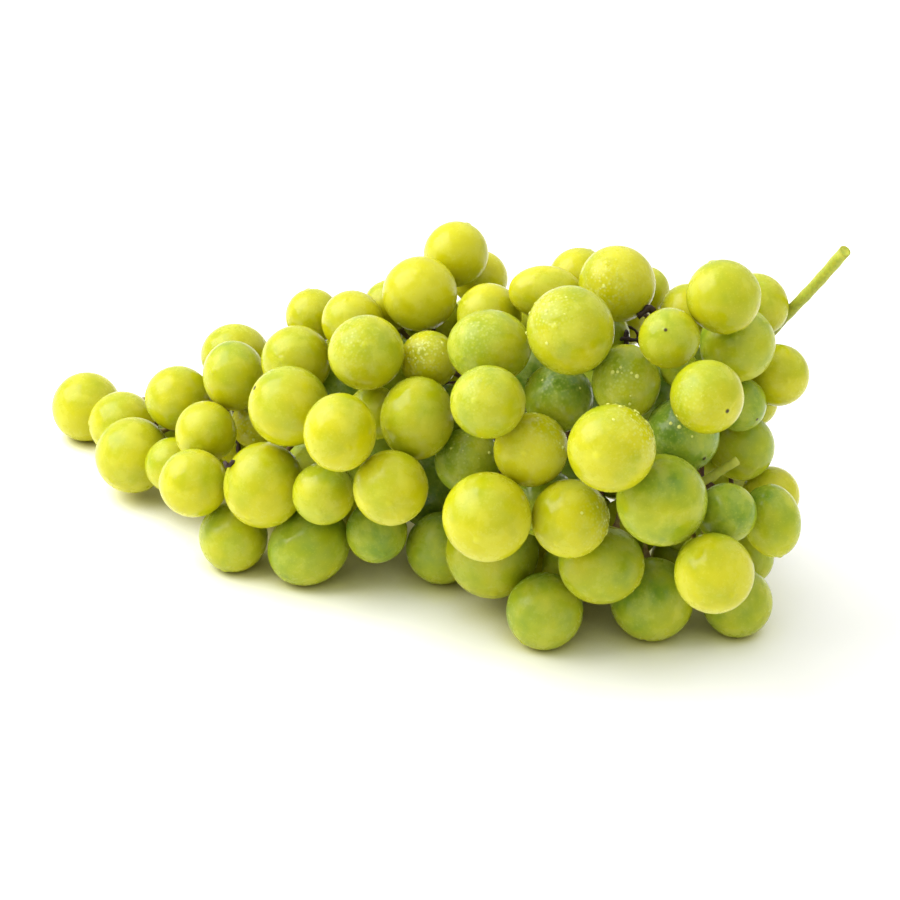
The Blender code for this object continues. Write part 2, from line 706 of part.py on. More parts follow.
def chains(tree, points):
    """Cuts the tree into unbranched runs: spray, points from the root side out, and end radii."""
    carried = np.zeros(len(points))
    for k in reversed(range(len(points))):
        carried[k] += 1.0 if tree.berry[k] >= 0 else 0.0
        if tree.parent[k] >= 0:
            carried[tree.parent[k]] += carried[k]
    kids = {}
    for k, parent in enumerate(tree.parent):
        kids.setdefault(parent, []).append(k)
    radii = np.minimum(BRANCH_RADIUS + BRANCH_GROWTH * carried ** BRANCH_POWER, BRANCH_MAX_RADIUS)
    starts = [(k, [k]) for k in kids[-1]]
    runs = []
    while starts:
        last, run = starts.pop()
        while len(kids.get(last, [])) == 1:
            last = kids[last][0]
            run.append(last)
        if len(run) > 1:
            runs.append((tree.spray[last], run))
        starts += [(k, [last, k]) for k in kids.get(last, [])]
    found = []
    for spray, run in runs:
        thick = STUB_RADIUS if carried[run[-1]] == 0 else radii[run[-1]]
        begin = thick if tree.parent[run[0]] >= 0 else radii[run[1]]
        is_root = tree.parent[run[0]] < 0
        found.append((spray, straighten(points[run]), (begin, thick), is_root))
    return found


def clear_scene():
    for item in list(bpy.data.objects):
        bpy.data.objects.remove(item, do_unlink=True)


def material(name, colour, roughness):
    made = bpy.data.materials.new(name)
    made.use_nodes = True
    shader = made.node_tree.nodes["Principled BSDF"]
    shader.inputs["Base Color"].default_value = colour
    shader.inputs["Roughness"].default_value = roughness
    return made


def make_object(name, mesh, collection):
    made = bpy.data.objects.new(name, mesh)
    collection.objects.link(made)
    return made


def ball(name, centre, small, large, way, collection):
    """A faceted berry, longer along its way."""
    shape = bmesh.new()
    bmesh.ops.create_icosphere(shape, subdivisions=BALL_SUBDIVISIONS, radius=1.0)
    stretch = Matrix.Scale(large / small, 3, Vector(way))
    for vertex in shape.verts:
        vertex.co = (stretch @ vertex.co * small + Vector(centre)) * MM
    mesh = bpy.data.meshes.new(name)
    shape.to_mesh(mesh)
    shape.free()
    return make_object(name, mesh, collection)


def tube(name, points, radii, sides, collection, first_way=None):
    """A closed tube through the points, its radius going evenly from the first to the last."""
    shape = bmesh.new()
    ways = [unit(b - a) for a, b in zip(points[:-1], points[1:])]
    side = unit(np.cross(ways[0], ANY_WAY))
    rings = []
    for k, point in enumerate(points):
        way = unit(ways[max(k - 1, 0)] + ways[min(k, len(ways) - 1)])
        if k == 0 and first_way is not None:
            way = first_way
        side = unit(side - way * (side @ way))
        other = np.cross(way, side)
        radius = radii[0] + (radii[1] - radii[0]) * k / (len(points) - 1)
        ring = []
        for corner in range(sides):
            angle = math.tau * corner / sides
            offset = side * math.cos(angle) + other * math.sin(angle)
            ring.append(shape.verts.new(Vector((point + offset * radius) * MM)))
        rings.append(ring)
    for near, far in zip(rings[:-1], rings[1:]):
        for corner in range(sides):
            after = (corner + 1) % sides
            shape.faces.new((near[corner], near[after], far[after], far[corner]))
    shape.faces.new(list(reversed(rings[0])))
    shape.faces.new(rings[-1])
    bmesh.ops.recalc_face_normals(shape, faces=shape.faces[:])
    mesh = bpy.data.meshes.new(name)
    shape.to_mesh(mesh)
    shape.free()
    return make_object(name, mesh, collection)


def fuse(name, pieces):
    """One solid of all the pieces in a collection, joined to the first."""
    body = pieces.objects[0]
    pieces.objects.unlink(body)
    bpy.context.scene.collection.objects.link(body)
    joint = body.modifiers.new("Union", "BOOLEAN")
    joint.operation = "UNION"
    joint.solver = "EXACT"
    joint.operand_type = "COLLECTION"
    joint.collection = pieces
    bpy.context.view_layer.update()
    graph = bpy.context.evaluated_depsgraph_get()
    mesh = bpy.data.meshes.new_from_object(body.evaluated_get(graph))
    body.modifiers.clear()
    body.data = mesh
    for piece in list(pieces.objects):
        bpy.data.objects.remove(piece, do_unlink=True)
    bpy.data.collections.remove(pieces)
    body.name = name
    mesh.name = name
    return body


def drop_slivers(shape):
    """Takes out the loose crumbs that a union can leave where stalks nearly touch."""
    waiting = set(shape.verts)
    while waiting:
        body = {waiting.pop()}
        edge = list(body)
        while edge:
            corner = edge.pop()
            for link in corner.link_edges:
                other = link.other_vert(corner)
                if other not in body:
                    body.add(other)
                    edge.append(other)
        waiting -= body
        if len(body) < SLIVER_CORNERS:
            bmesh.ops.delete(shape, geom=list(body), context="VERTS")


def press_flat(body):
    """Cuts the body off at the table and closes the cuts with flat faces."""
    shape = bmesh.new()
    shape.from_mesh(body.data)
    drop_slivers(shape)
    everything = shape.verts[:] + shape.edges[:] + shape.faces[:]
    bmesh.ops.bisect_plane(
        shape, geom=everything, plane_co=(0, 0, 0), plane_no=(0, 0, 1), dist=CUT_TOLERANCE, clear_inner=True
    )
    rims = [edge for edge in shape.edges if edge.is_boundary]
    if rims:
        bmesh.ops.holes_fill(shape, edges=rims, sides=0)
    bmesh.ops.triangulate(shape, faces=shape.faces[:])
    bmesh.ops.recalc_face_normals(shape, faces=shape.faces[:])
    shape.to_mesh(body.data)
    shape.free()


def lay_bunch():
    """Everything's place, moved so that the middle of the whole box is over the origin."""
    berries = seen_berries()
    picture = Picture(berries)
    line = stem_line(berries)
    stub = np.array([seen_point(*stop) for stop in STUB])
    berries = add_hidden(berries, line, stub, picture)
    tree = grow(berries, line, stub, picture)
    runs = chains(tree, ease(tree, berries, line))
    reach = np.maximum(berries.small, berries.large)[:, None]
    low = np.minimum((berries.centres - reach).min(axis=0), line.min(axis=0))
    high = np.maximum((berries.centres + reach).max(axis=0), line.max(axis=0))
    shift = -(low + high) / 2
    shift[2] = 0.0
    berries.centres += shift
    runs = [(spray, points + shift, ends, is_root) for spray, points, ends, is_root in runs]
    grown_on = {k: spray for k, spray in zip(tree.berry, tree.spray) if k >= 0}
    return berries, grown_on, line + shift, runs


def add_stem(line, looks):
    """The stalk and the main stem inside the bunch, grown as one."""
    inner = RACHIS_STOPS
    pieces = bpy.data.collections.new("stem pieces")
    bpy.context.scene.collection.children.link(pieces)
    tube("rachis", straighten(line[:inner + 1]), RACHIS_RADII, STEM_SIDES, pieces)
    tube("stalk", line[inner - 1:], (RACHIS_RADII[1], STALK_RADIUS), STEM_SIDES, pieces)
    stem = fuse("stem", pieces)
    stem.data.materials.clear()
    stem.data.materials.append(looks)
    return stem


def add_spray(number, berries, members, runs, first_ways, looks):
    """One side branch with its stalks and the berries on it."""
    name = "spray_%02d" % number
    pieces = bpy.data.collections.new(name + " pieces")
    bpy.context.scene.collection.children.link(pieces)
    for k in members:
        ball("berry", berries.centres[k], berries.small[k], berries.large[k], berries.ways[k], pieces)
    for points, ends, is_root in runs:
        tube("branch", points, ends, BRANCH_SIDES, pieces, first_ways if is_root else None)
    body = fuse(name, pieces)
    press_flat(body)
    body.data.materials.clear()
    body.data.materials.append(looks)
    body.data.shade_smooth()
    return body


def main():
    clear_scene()
    berries, grown_on, line, runs = lay_bunch()
    skin = material("grape skin", BERRY_COLOUR, BERRY_ROUGHNESS)
    bark = material("green stalk", STEM_COLOUR, STEM_ROUGHNESS)
    add_stem(line, bark)
    roots = stations(line)
    for spray in range(len(roots)):
        members = [k for k in range(len(berries)) if grown_on.get(k) == spray]
        own_runs = [(points, ends, is_root) for owner, points, ends, is_root in runs if owner == spray]
        if not members:
            continue
        point, forward, _ = roots[spray]
        root = next(points[0] for points, _, is_root in own_runs if is_root)
        add_spray(spray + 1, berries, members, own_runs, unit(root - point), skin)


main()
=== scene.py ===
# Looks of a bunch of green grapes: berries, droplets, stalks, table, light and camera.
#
# The layout is the one that the solids were made from, worked out again here in millimetres, so that
# each fine berry and stalk takes the place of its plain one.

import heapq
import json
import math
import random

import bpy
import numpy as np
from mathutils import Matrix, Vector

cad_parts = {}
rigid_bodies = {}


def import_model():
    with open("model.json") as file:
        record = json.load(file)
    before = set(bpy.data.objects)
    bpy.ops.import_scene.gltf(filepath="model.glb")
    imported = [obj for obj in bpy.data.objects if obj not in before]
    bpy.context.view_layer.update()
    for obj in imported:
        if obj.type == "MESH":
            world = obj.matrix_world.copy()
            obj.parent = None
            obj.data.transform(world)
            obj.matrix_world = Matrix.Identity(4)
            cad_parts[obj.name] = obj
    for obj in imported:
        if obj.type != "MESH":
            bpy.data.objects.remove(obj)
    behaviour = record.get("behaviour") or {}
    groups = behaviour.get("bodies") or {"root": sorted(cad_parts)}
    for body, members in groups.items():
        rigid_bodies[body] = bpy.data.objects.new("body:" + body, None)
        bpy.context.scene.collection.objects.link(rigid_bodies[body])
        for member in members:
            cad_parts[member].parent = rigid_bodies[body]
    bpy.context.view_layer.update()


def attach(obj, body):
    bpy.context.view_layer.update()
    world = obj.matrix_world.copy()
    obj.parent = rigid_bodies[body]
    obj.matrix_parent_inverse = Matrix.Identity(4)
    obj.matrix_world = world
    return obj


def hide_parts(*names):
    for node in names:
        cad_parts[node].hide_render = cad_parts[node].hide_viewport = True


MM = 0.001

# Where the bunch is looked at from: degrees round from the front, degrees up, and how far off.
SIGHT_AZIMUTH = 28.0
SIGHT_RISE = 28.0
SIGHT_DISTANCE = 700.0
LOOK_AT = np.array([-7.0, -10.0, 40.0])

# Berries: air between two of them, how far a lying one is pressed flat, how far each layer hangs back,
# and how a pair that overlaps is slid apart: share of the nearer one, rounds at most, and when it is done.
BERRY_GAP = 0.45
SINK = 0.5
LAYER_DEPTH = 2.0
DEPTH_RANGE = (-160.0, 200.0)
FRONT_GIVES = 0.35
SLIDE_ROUNDS = 400
SLIDE_REACH = 3.0
SETTLED = 0.02

# Sections through the bunch: x, middle y, middle z, half width, half height.
SECTIONS = np.array([
    (-134.0, 20.0, 11.0, 11.0, 10.0),
    (-110.0, 17.0, 17.0, 22.0, 17.0),
    (-80.0, 12.0, 26.0, 34.0, 26.0),
    (-40.0, 8.0, 37.0, 43.0, 37.0),
    (0.0, 8.0, 43.0, 50.0, 43.0),
    (40.0, 8.0, 46.0, 52.0, 46.0),
    (68.0, 10.0, 46.0, 46.0, 45.0),
    (90.0, 12.0, 42.0, 30.0, 32.0),
])
THINNEST = 0.5
END_ROOM = 10.0

# Berries that show, layer by layer from the nearest: across, up, diameter, and for oval ones how much
# longer than wide, and how far the long way leans from level.
FRONT_LAYER = [
    (9.3, -16.8, 22.0), (40.3, 0.5, 22.0), (30.0, -17.0, 19.5), (66.0, -30.8, 20.0), (9.5, 12.0, 18.5),
    (64.3, 13.1, 18.3), (30.1, 29.9, 22.0), (54.8, 28.0, 15.0), (68.5, 38.3, 18.5), (-7.5, 39.0, 18.5),
    (-27.5, 4.3, 18.8, 1.08, 90), (-14.8, -9.5, 18.8),
]
SECOND_LAYER = [
    (20.3, 0.0, 18.5), (-8.0, 8.0, 19.5, 1.15, 85), (-21.0, 24.4, 18.8), (-40.3, 11.0, 20.0),
    (-31.6, -11.0, 15.5), (52.8, -12.5, 22.8), (37.8, -28.5, 20.5, 1.1, 0), (9.9, 25.8, 19.6, 1.12, 0),
    (44.0, 17.0, 18.0, 1.1, 90), (1.6, 48.9, 15.9), (41.8, 41.5, 19.0), (71.8, 26.5, 19.0),
]
THIRD_LAYER = [
    (-46.5, -8.8, 20.5, 1.08, 90), (-64.1, -8.3, 17.0), (-61.1, 4.5, 15.3), (-69.5, -3.8, 13.5),
    (-79.3, -1.3, 18.5), (-18.3, -20.5, 15.3),
    (23.8, -40.3, 19.0), (50.5, -37.3, 20.5), (71.8, -38.0, 17.5), (69.1, -15.8, 15.0), (58.1, 3.8, 18.5),
    (72.3, 11.5, 13.5), (77.1, 36.6, 14.9, 1.1, 130), (59.5, 34.5, 14.0), (49.0, 40.0, 11.6),
    (23.8, 39.5, 15.4, 1.4, 0), (9.8, 33.5, 16.0), (4.5, -2.8, 16.5), (27.0, 13.0, 17.3), (-5.3, 22.5, 14.3),
    (-19.0, 9.3, 13.5), (-24.3, 32.1, 15.5), (-38.4, 22.3, 17.3), (-54.0, 18.5, 16.3, 1.12, 95),
]
FOURTH_LAYER = [
    (-82.0, 6.6, 16.0), (-54.1, -21.8, 17.0), (-35.3, -24.1, 19.7, 1.1, 30), (10.8, -25.3, 23.0),
    (80.3, -17.6, 16.2, 1.25, 100), (72.8, 0.8, 16.5), (82.0, 18.6, 15.3), (32.3, 43.0, 15.0),
    (25.5, 33.0, 16.0), (7.4, 43.0, 13.8), (-34.2, 33.4, 13.5), (-53.6, 23.6, 16.5, 1.08, 0),
    (-68.0, 12.9, 16.3), (-48.5, 6.5, 12.5), (-15.3, 36.0, 12.5),
]
DEEPEST_LAYER = [
    (-90.9, 10.8, 17.0), (-2.0, -24.5, 18.0), (80.2, -11.3, 14.2), (74.3, -26.8, 13.2), (-4.3, -10.5, 18.0),
    (-26.3, 15.0, 15.0), (-71.8, 3.7, 9.5), (75.8, 12.0, 12.0), (0.5, 9.5, 14.0),
    (-54.2, 2.5, 11.0), (35.6, 14.0, 12.0), (63.5, -3.5, 10.0), (57.3, 20.3, 9.5),
]
LAYERS = (FRONT_LAYER, SECOND_LAYER, THIRD_LAYER, FOURTH_LAYER, DEEPEST_LAYER)

# Those of them that lie on the table, by across and up.
LYING = (
    (23.8, -40.3), (50.5, -37.3), (71.8, -38.0), (-54.1, -21.8), (-35.3, -24.1), (-90.9, 10.8),
    (-2.0, -24.5),
)

# Hidden berries: how many at most, their sizes, the step between places tried and how far those go, how
# far one may bulge out of the form, how many neighbours it leans on, and the seed of the draw.
HIDDEN_LIMIT = 50
HIDDEN_RADII = (7.6, 8.3, 9.0)
HIDDEN_STEP = 3.0
HIDDEN_DEPTHS = (-60.0, 75.0)
HIDDEN_TOP = 100.0
HIDDEN_BULGE = 1.0
NEIGHBOURS = 3
HIDDEN_SEED = 7

# How a hidden berry may show: spots looked at on its face, the widest gap that one may fill, the share of
# its face that may show anywhere else, and what draws it low, outward and to gaps.
FACE_SPOTS = 18
FACE_INNER_RING = 0.55
OUTLINE_STEP = 0.5
GAP_WIDTH = 11.0
STRAY_LIMIT = 0.02
LOW_WEIGHT = 0.05
OUTER_WEIGHT = 16.0
GAP_WEIGHT = 90.0

# Main stem: across, up and further than the sight point where the stalk shows, and stops inside the bunch.
STALK = [(77.0, 26.8, 2.0), (84.3, 34.0, -8.0), (91.6, 41.6, -17.0), (98.8, 49.8, -28.0)]
RACHIS_STOPS = 24
RACHIS_ENDS = (-112.0, 48.0)
RACHIS_BEND_AT = (-112.0, -60.0, 10.0, 48.0)
RACHIS_SIDEWAYS = (0.0, 0.9, 2.0, 8.0)
RACHIS_LIFT = (-2.0, 0.0, 4.0, 12.0)
RACHIS_ROUNDS = 300
RACHIS_STIFFNESS = 0.4
RACHIS_PUSH = 0.7
RACHIS_ROOM = 3.2
RACHIS_RADII = (0.9, 1.4)
STALK_RADIUS = 1.5

# Stub of a cut side branch, given like the stalk, from its hidden end to the cut.
STUB = [(60.0, -9.8, -18.0), (63.1, -8.0, -22.0), (71.9, -2.6, -25.0)]
STUB_RADIUS = 1.1
STUB_ROOM = 0.5

# Where side branches leave the main stem: spacing and turn along it, how much of its ends stays bare,
# how far off its middle they start and pass, and what a first place is chosen by.
ROOT_SPACING = 12.5
ROOT_TURN = math.radians(137.5)
ROOT_END = 2.0
ROOT_OFFSET = 2.95
ROOT_ZONE = (3.6, 6.5)
ROOT_SEARCH = 8.0
ROOT_TURN_WEIGHT = 6.0
ROOT_CLEAR_WEIGHT = 2.0
ROOT_CLEAR_MOST = 3.0

# Free places for branches: step of their grid, room kept from skin and table, how far out of the bunch
# they go, and how much harder a tight place or one in plain sight is to pass.
GRID = 2.0
BRANCH_ROOM = 1.35
TABLE_EXTRA = 0.3
EDGE_INSET = 4.0
EDGE_LIMIT = 0.12
TIGHT_BELOW = 2.4
TIGHT_WEIGHT = 1.2
TIGHT_MOST = 2.0
WANDER = 0.5
IN_SIGHT_WEIGHT = 3.0

# Berry stalks: how far off they may join, room kept, how far they go into the berry, and what a place to
# join is chosen by.
PEDICEL_SEARCH = (7.0, 15.0)
PEDICEL_LEAST = 0.8
PEDICEL_ROOM = 1.1
PEDICEL_SINK = 2.5
PEDICEL_CHECKS = 7
PEDICEL_TRIES = 60
PEDICEL_LENGTH_WEIGHT = 1.5
PEDICEL_INWARD_WEIGHT = 6.0

# Smoothing of the branches: rounds, the share moved in each, room kept, and how straight is straight.
EASE_ROUNDS = 60
EASE_SHARE = 0.5
EASE_ROOM = 1.5
STEM_ROOM = 3.2
SPRAY_ROOM = 3.4
STRAIGHTEN = 0.5

# How thick branches are: of one berry's stalk, more for each berry carried, and at most.
BRANCH_RADIUS = 0.55
BRANCH_GROWTH = 0.09
BRANCH_POWER = 0.8
BRANCH_MAX_RADIUS = 1.05

# Shares and ways that are no size of the bunch.
TINY = 1e-9
FAR_OFF = 1e9
ANY_WAY = (0.31, 0.17, 0.93)


class Berries:
    """Centres, short and long half sizes and long ways of the berries."""

    def __init__(self, centres, small, large, ways):
        self.centres = np.array(centres, float)
        self.small = np.array(small, float)
        self.large = np.array(large, float)
        self.ways = np.array(ways, float)

    def __len__(self):
        return len(self.small)

    def add(self, centre, radius):
        self.centres = np.vstack([self.centres, centre])
        self.small = np.append(self.small, radius)
        self.large = np.append(self.large, radius)
        self.ways = np.vstack([self.ways, (0.0, 0.0, 1.0)])

    def reach(self, k, directions):
        """How far berry k reaches from its middle along unit directions (n, 3)."""
        along = directions @ self.ways[k]
        return np.sqrt(self.small[k] ** 2 + (self.large[k] ** 2 - self.small[k] ** 2) * along ** 2)

    def gap(self, k, points):
        """How far points (n, 3) are from the skin of berry k, and the ways out of it."""
        away = points - self.centres[k]
        far = np.maximum(np.linalg.norm(away, axis=1), TINY)
        out = away / far[:, None]
        return far - self.reach(k, out), out


def unit(vector):
    return vector / max(float(np.linalg.norm(vector)), TINY)


def sight():
    """The eye, and the ways right, up and ahead as seen from it."""
    azimuth = math.radians(SIGHT_AZIMUTH)
    rise = math.radians(SIGHT_RISE)
    back = np.array([
        math.sin(azimuth) * math.cos(rise),
        -math.cos(azimuth) * math.cos(rise),
        math.sin(rise),
    ])
    right = np.array([math.cos(azimuth), math.sin(azimuth), 0.0])
    return LOOK_AT + back * SIGHT_DISTANCE, right, np.cross(back, right), -back


def seen_point(across, up, further):
    """The place that shows at across and up, so much further off than the sight point."""
    eye, right_way, up_way, ahead = sight()
    ray = ahead + (right_way * across + up_way * up) / SIGHT_DISTANCE
    return eye + ray * (SIGHT_DISTANCE + further)


def outside(points, inset):
    """Below 0 where points (n, 3) keep at least the inset from the bunch's outer form."""
    x = points[:, 0]
    y, z, wide, high = [np.interp(x, SECTIONS[:, 0], SECTIONS[:, k]) for k in range(1, 5)]
    wide = np.maximum(wide - inset, THINNEST)
    high = np.maximum(high - inset, THINNEST)
    past_end = np.maximum(SECTIONS[0, 0] + inset - x, x - SECTIONS[-1, 0] + inset).clip(0)
    return np.hypot((points[:, 1] - y) / wide, (points[:, 2] - z) / high) - 1 + past_end / END_ROOM


def first_depths():
    """The berries that show, as rays and sizes at the sight point, with a first distance for each."""
    eye, right_way, up_way, ahead = sight()
    steps = SIGHT_DISTANCE + np.arange(*DEPTH_RANGE)
    rows = []
    for layer, berries in enumerate(LAYERS):
        for across, up, wide, *oval in berries:
            stretch, lean = oval or (1.0, 0.0)
            small = wide / 2 / math.sqrt(stretch)
            ray = ahead + (right_way * across + up_way * up) / SIGHT_DISTANCE
            lies = (across, up) in LYING
            on_table = (eye[2] + SINK) / (wide / 2 / SIGHT_DISTANCE - ray[2])
            within = outside(eye + steps[:, None] * ray, wide / 2)
            hits = np.nonzero(within <= 0)[0]
            place = hits[0] if len(hits) else int(np.argmin(within))
            depth = on_table if lies else min(steps[place] + LAYER_DEPTH * layer, on_table)
            lean = math.radians(lean)
            way = right_way * math.cos(lean) + up_way * math.sin(lean)
            rows.append((ray, small, small * stretch, way, depth, on_table, lies))
    return [np.array(column) for column in zip(*rows)]


def seen_berries():
    """Slides the berries that show along their sight rays until all are clear, keeping who is in front."""
    eye = sight()[0]
    rays, small, large, ways, depth, on_table, lies = first_depths()
    apart = np.linalg.norm(rays[:, None] - rays[None], axis=2) * SIGHT_DISTANCE
    touching = apart < large[:, None] + large[None] + SLIDE_REACH
    pairs = [(i, j) for i in range(len(small)) for j in range(i + 1, len(small)) if touching[i, j]]
    shown = Berries(eye + rays * depth[:, None], small, large, ways)
    for _ in range(SLIDE_ROUNDS):
        worst = 0.0
        for i, j in pairs:
            centre_i = eye + rays[i] * depth[i]
            centre_j = eye + rays[j] * depth[j]
            across = unit(centre_j - centre_i)[None]
            need = BERRY_GAP
            need += shown.reach(i, across)[0] * depth[i] / SIGHT_DISTANCE
            need += shown.reach(j, across)[0] * depth[j] / SIGHT_DISTANCE
            behind = depth[j] - depth[i]
            sideways = max(float(np.sum((centre_i - centre_j) ** 2)) - behind ** 2, 0.0)
            if sideways >= need ** 2:
                continue
            short = math.sqrt(need ** 2 - sideways) - behind
            if short <= 0:
                continue
            share = FRONT_GIVES
            if lies[j] or depth[j] + short * (1 - share) > on_table[j]:
                share = 1.0
            if lies[i]:
                share = 0.0
            depth[i] -= short * share
            depth[j] += short * (1 - share)
            worst = max(worst, short)
        if worst < SETTLED:
            break
    scale = depth / SIGHT_DISTANCE
    return Berries(eye + rays * depth[:, None], small * scale, large * scale, ways)


def skin_gap(points, berries):
    """How far each point (n, 3) is from the nearest berry."""
    best = np.full(len(points), FAR_OFF)
    for k in range(len(berries)):
        best = np.minimum(best, berries.gap(k, points)[0])
    return best


def line_gap(points, line):
    """How far each point (n, 3) is from a chain of points, and the ways off it."""
    best = np.full(len(points), FAR_OFF)
    off = np.zeros((len(points), 3))
    for a, b in zip(line[:-1], line[1:]):
        ab = b - a
        t = ((points - a) @ ab / max(ab @ ab, TINY)).clip(0, 1)
        away = points - a - t[:, None] * ab
        far = np.linalg.norm(away, axis=1)
        nearer = far < best
        best[nearer] = far[nearer]
        off[nearer] = away[nearer]
    return best, off / np.maximum(best, TINY)[:, None]


def stem_line(berries):
    """The main stem: from the tip through the middle, bent clear of the berries, then up and out."""
    x = np.linspace(*RACHIS_ENDS, RACHIS_STOPS)
    y = np.interp(x, SECTIONS[:, 0], SECTIONS[:, 1]) + np.interp(x, RACHIS_BEND_AT, RACHIS_SIDEWAYS)
    z = np.interp(x, SECTIONS[:, 0], SECTIONS[:, 2]) + np.interp(x, RACHIS_BEND_AT, RACHIS_LIFT)
    stalk = np.array([seen_point(*stop) for stop in STALK])
    line = np.concatenate([np.stack([x, y, z], axis=1), stalk])
    for _ in range(RACHIS_ROUNDS):
        push = np.zeros_like(line)
        push[1:-1] = RACHIS_STIFFNESS * ((line[:-2] + line[2:]) / 2 - line[1:-1])
        for k in range(len(berries)):
            gap, out = berries.gap(k, line)
            push += out * (RACHIS_PUSH * (RACHIS_ROOM - gap).clip(0))[:, None]
        line[:RACHIS_STOPS] += push[:RACHIS_STOPS]
    return line


def as_seen(points, radius):
    """Where points (n, 3) show across and up, how large a radius there shows, and how far off they are."""
    eye, right_way, up_way, ahead = sight()
    away = points - eye
    depth = away @ ahead
    scale = SIGHT_DISTANCE / depth
    return away @ right_way * scale, away @ up_way * scale, radius * scale, depth


def face_spots():
    """Spots over the face of a berry, as shares of its radius across and up."""
    spots = [(0.0, 0.0)]
    for k in range(FACE_SPOTS):
        angle = math.tau * k / FACE_SPOTS
        for out in (1.0, FACE_INNER_RING):
            spots.append((out * math.cos(angle), out * math.sin(angle)))
    return np.array(spots)


class Picture:
    """Which spots of the sight the berries that show cover, and which lie in a gap between them."""

    def __init__(self, berries):
        across, up, size, _ = as_seen(berries.centres, berries.small)
        self.low = np.array([(across - size).min(), (up - size).min()]) - GAP_WIDTH
        high = np.array([(across + size).max(), (up + size).max()]) + GAP_WIDTH
        right, rise = [np.arange(a, b, OUTLINE_STEP) for a, b in zip(self.low, high)]
        self.shown = np.zeros((len(right), len(rise)), bool)
        for x, y, reach in zip(across, up, size):
            self.shown |= np.hypot(right[:, None] - x, rise[None] - y) < reach
        self.gaps = ~self.shown
        for way in ((1, 0), (-1, 0), (0, 1), (0, -1), (1, 1), (1, -1), (-1, 1), (-1, -1)):
            met = self.shown.copy()
            for far in range(1, int(GAP_WIDTH / OUTLINE_STEP)):
                met |= np.roll(self.shown, (far * way[0], far * way[1]), axis=(0, 1))
            self.gaps &= met

    def look_up(self, kind, across, up):
        """What one of the two maps says at places across and up."""
        last = np.array(kind.shape) - 1
        right = ((across - self.low[0]) / OUTLINE_STEP).round().astype(int).clip(0, last[0])
        rise = ((up - self.low[1]) / OUTLINE_STEP).round().astype(int).clip(0, last[1])
        return kind[right, rise]


class Sites:
    """Places where a hidden berry of one size fits, and what of its face would fill a gap."""

    def __init__(self, berries, line, stub, radius, picture):
        self.radius = radius
        steps = [
            np.arange(SECTIONS[0, 0], SECTIONS[-1, 0], HIDDEN_STEP),
            np.arange(*HIDDEN_DEPTHS, HIDDEN_STEP),
            np.arange(radius - SINK, HIDDEN_TOP, HIDDEN_STEP),
        ]
        places = np.stack(np.meshgrid(*steps, indexing="ij"), axis=-1).reshape(-1, 3)
        places = places[outside(places, radius - HIDDEN_BULGE) < 0]
        places = places[line_gap(places, line)[0] > radius + RACHIS_ROOM]
        places = places[line_gap(places, stub)[0] > radius + STUB_RADIUS + STUB_ROOM]
        places = places[skin_gap(places, berries) > radius + BERRY_GAP]
        across, up, size, depth = as_seen(places, radius)
        spots = face_spots()
        self.across = across[:, None] + size[:, None] * spots[:, 0]
        self.up = up[:, None] + size[:, None] * spots[:, 1]
        self.bare = np.ones(self.across.shape, bool)
        for k in range(len(berries)):
            self.cover(berries, k, depth)
        stray = self.bare & ~picture.look_up(picture.gaps, self.across, self.up)
        kept = stray.mean(axis=1) <= STRAY_LIMIT
        self.places = places[kept]
        self.across = self.across[kept]
        self.up = self.up[kept]
        self.bare = self.bare[kept]
        near = np.stack([berries.gap(k, self.places)[0] for k in range(len(berries))])
        self.near = np.sort(near, axis=0)[:NEIGHBOURS]

    def cover(self, berries, k, depth=None):
        """Takes off what berry k covers, where it is nearer than the depth if one is given."""
        across, up, size, far = as_seen(berries.centres[k:k + 1], berries.small[k])
        hides = np.hypot(self.across - across, self.up - up) < size
        if depth is not None:
            hides &= (far < depth)[:, None]
        self.bare &= ~hides

    def best(self):
        """The place closest to its neighbours, to gaps that show and to the outside, or None."""
        loose = self.near.sum(axis=0) + LOW_WEIGHT * self.places[:, 2]
        loose -= OUTER_WEIGHT * outside(self.places, self.radius) + GAP_WEIGHT * self.bare.mean(axis=1)
        loose[self.near[0] < self.radius + BERRY_GAP] = np.inf
        place = int(np.argmin(loose))
        return self.places[place] if np.isfinite(loose[place]) else None

    def take(self, berries):
        """Takes the last berry into account."""
        last = len(berries) - 1
        new = berries.gap(last, self.places)[0]
        self.near = np.sort(np.vstack([self.near, new]), axis=0)[:NEIGHBOURS]
        self.cover(berries, last)


def add_hidden(berries, line, stub, picture):
    """Fills the gaps, the far side and the inside, each berry where it lies closest to its neighbours."""
    draw = random.Random(HIDDEN_SEED)
    sites = [Sites(berries, line, stub, radius, picture) for radius in HIDDEN_RADII]
    for _ in range(HIDDEN_LIMIT):
        own = sites[draw.randrange(len(sites))]
        place = own.best()
        if place is None:
            continue
        berries.add(place, own.radius)
        for other in sites:
            other.take(berries)
    return berries


def stations(line):
    """Where side branches leave the main stem: points, ways along the stem, and ways they face."""
    along = np.concatenate([[0], np.cumsum(np.linalg.norm(np.diff(line, axis=0), axis=1))])
    last = along[RACHIS_STOPS - 1] - ROOT_END
    found = []
    for k in range(int((last - 2 * ROOT_END) // ROOT_SPACING) + 1):
        at = (last - k * ROOT_SPACING, last - k * ROOT_SPACING + ROOT_END)
        point, beyond = [np.array([np.interp(s, along, line[:, j]) for j in range(3)]) for s in at]
        forward = unit(beyond - point)
        side = unit(np.cross(forward, (0.0, 0.0, 1.0)))
        top = np.cross(side, forward)
        turn = k * ROOT_TURN
        found.append((point, forward, side * math.cos(turn) + top * math.sin(turn)))
    return found


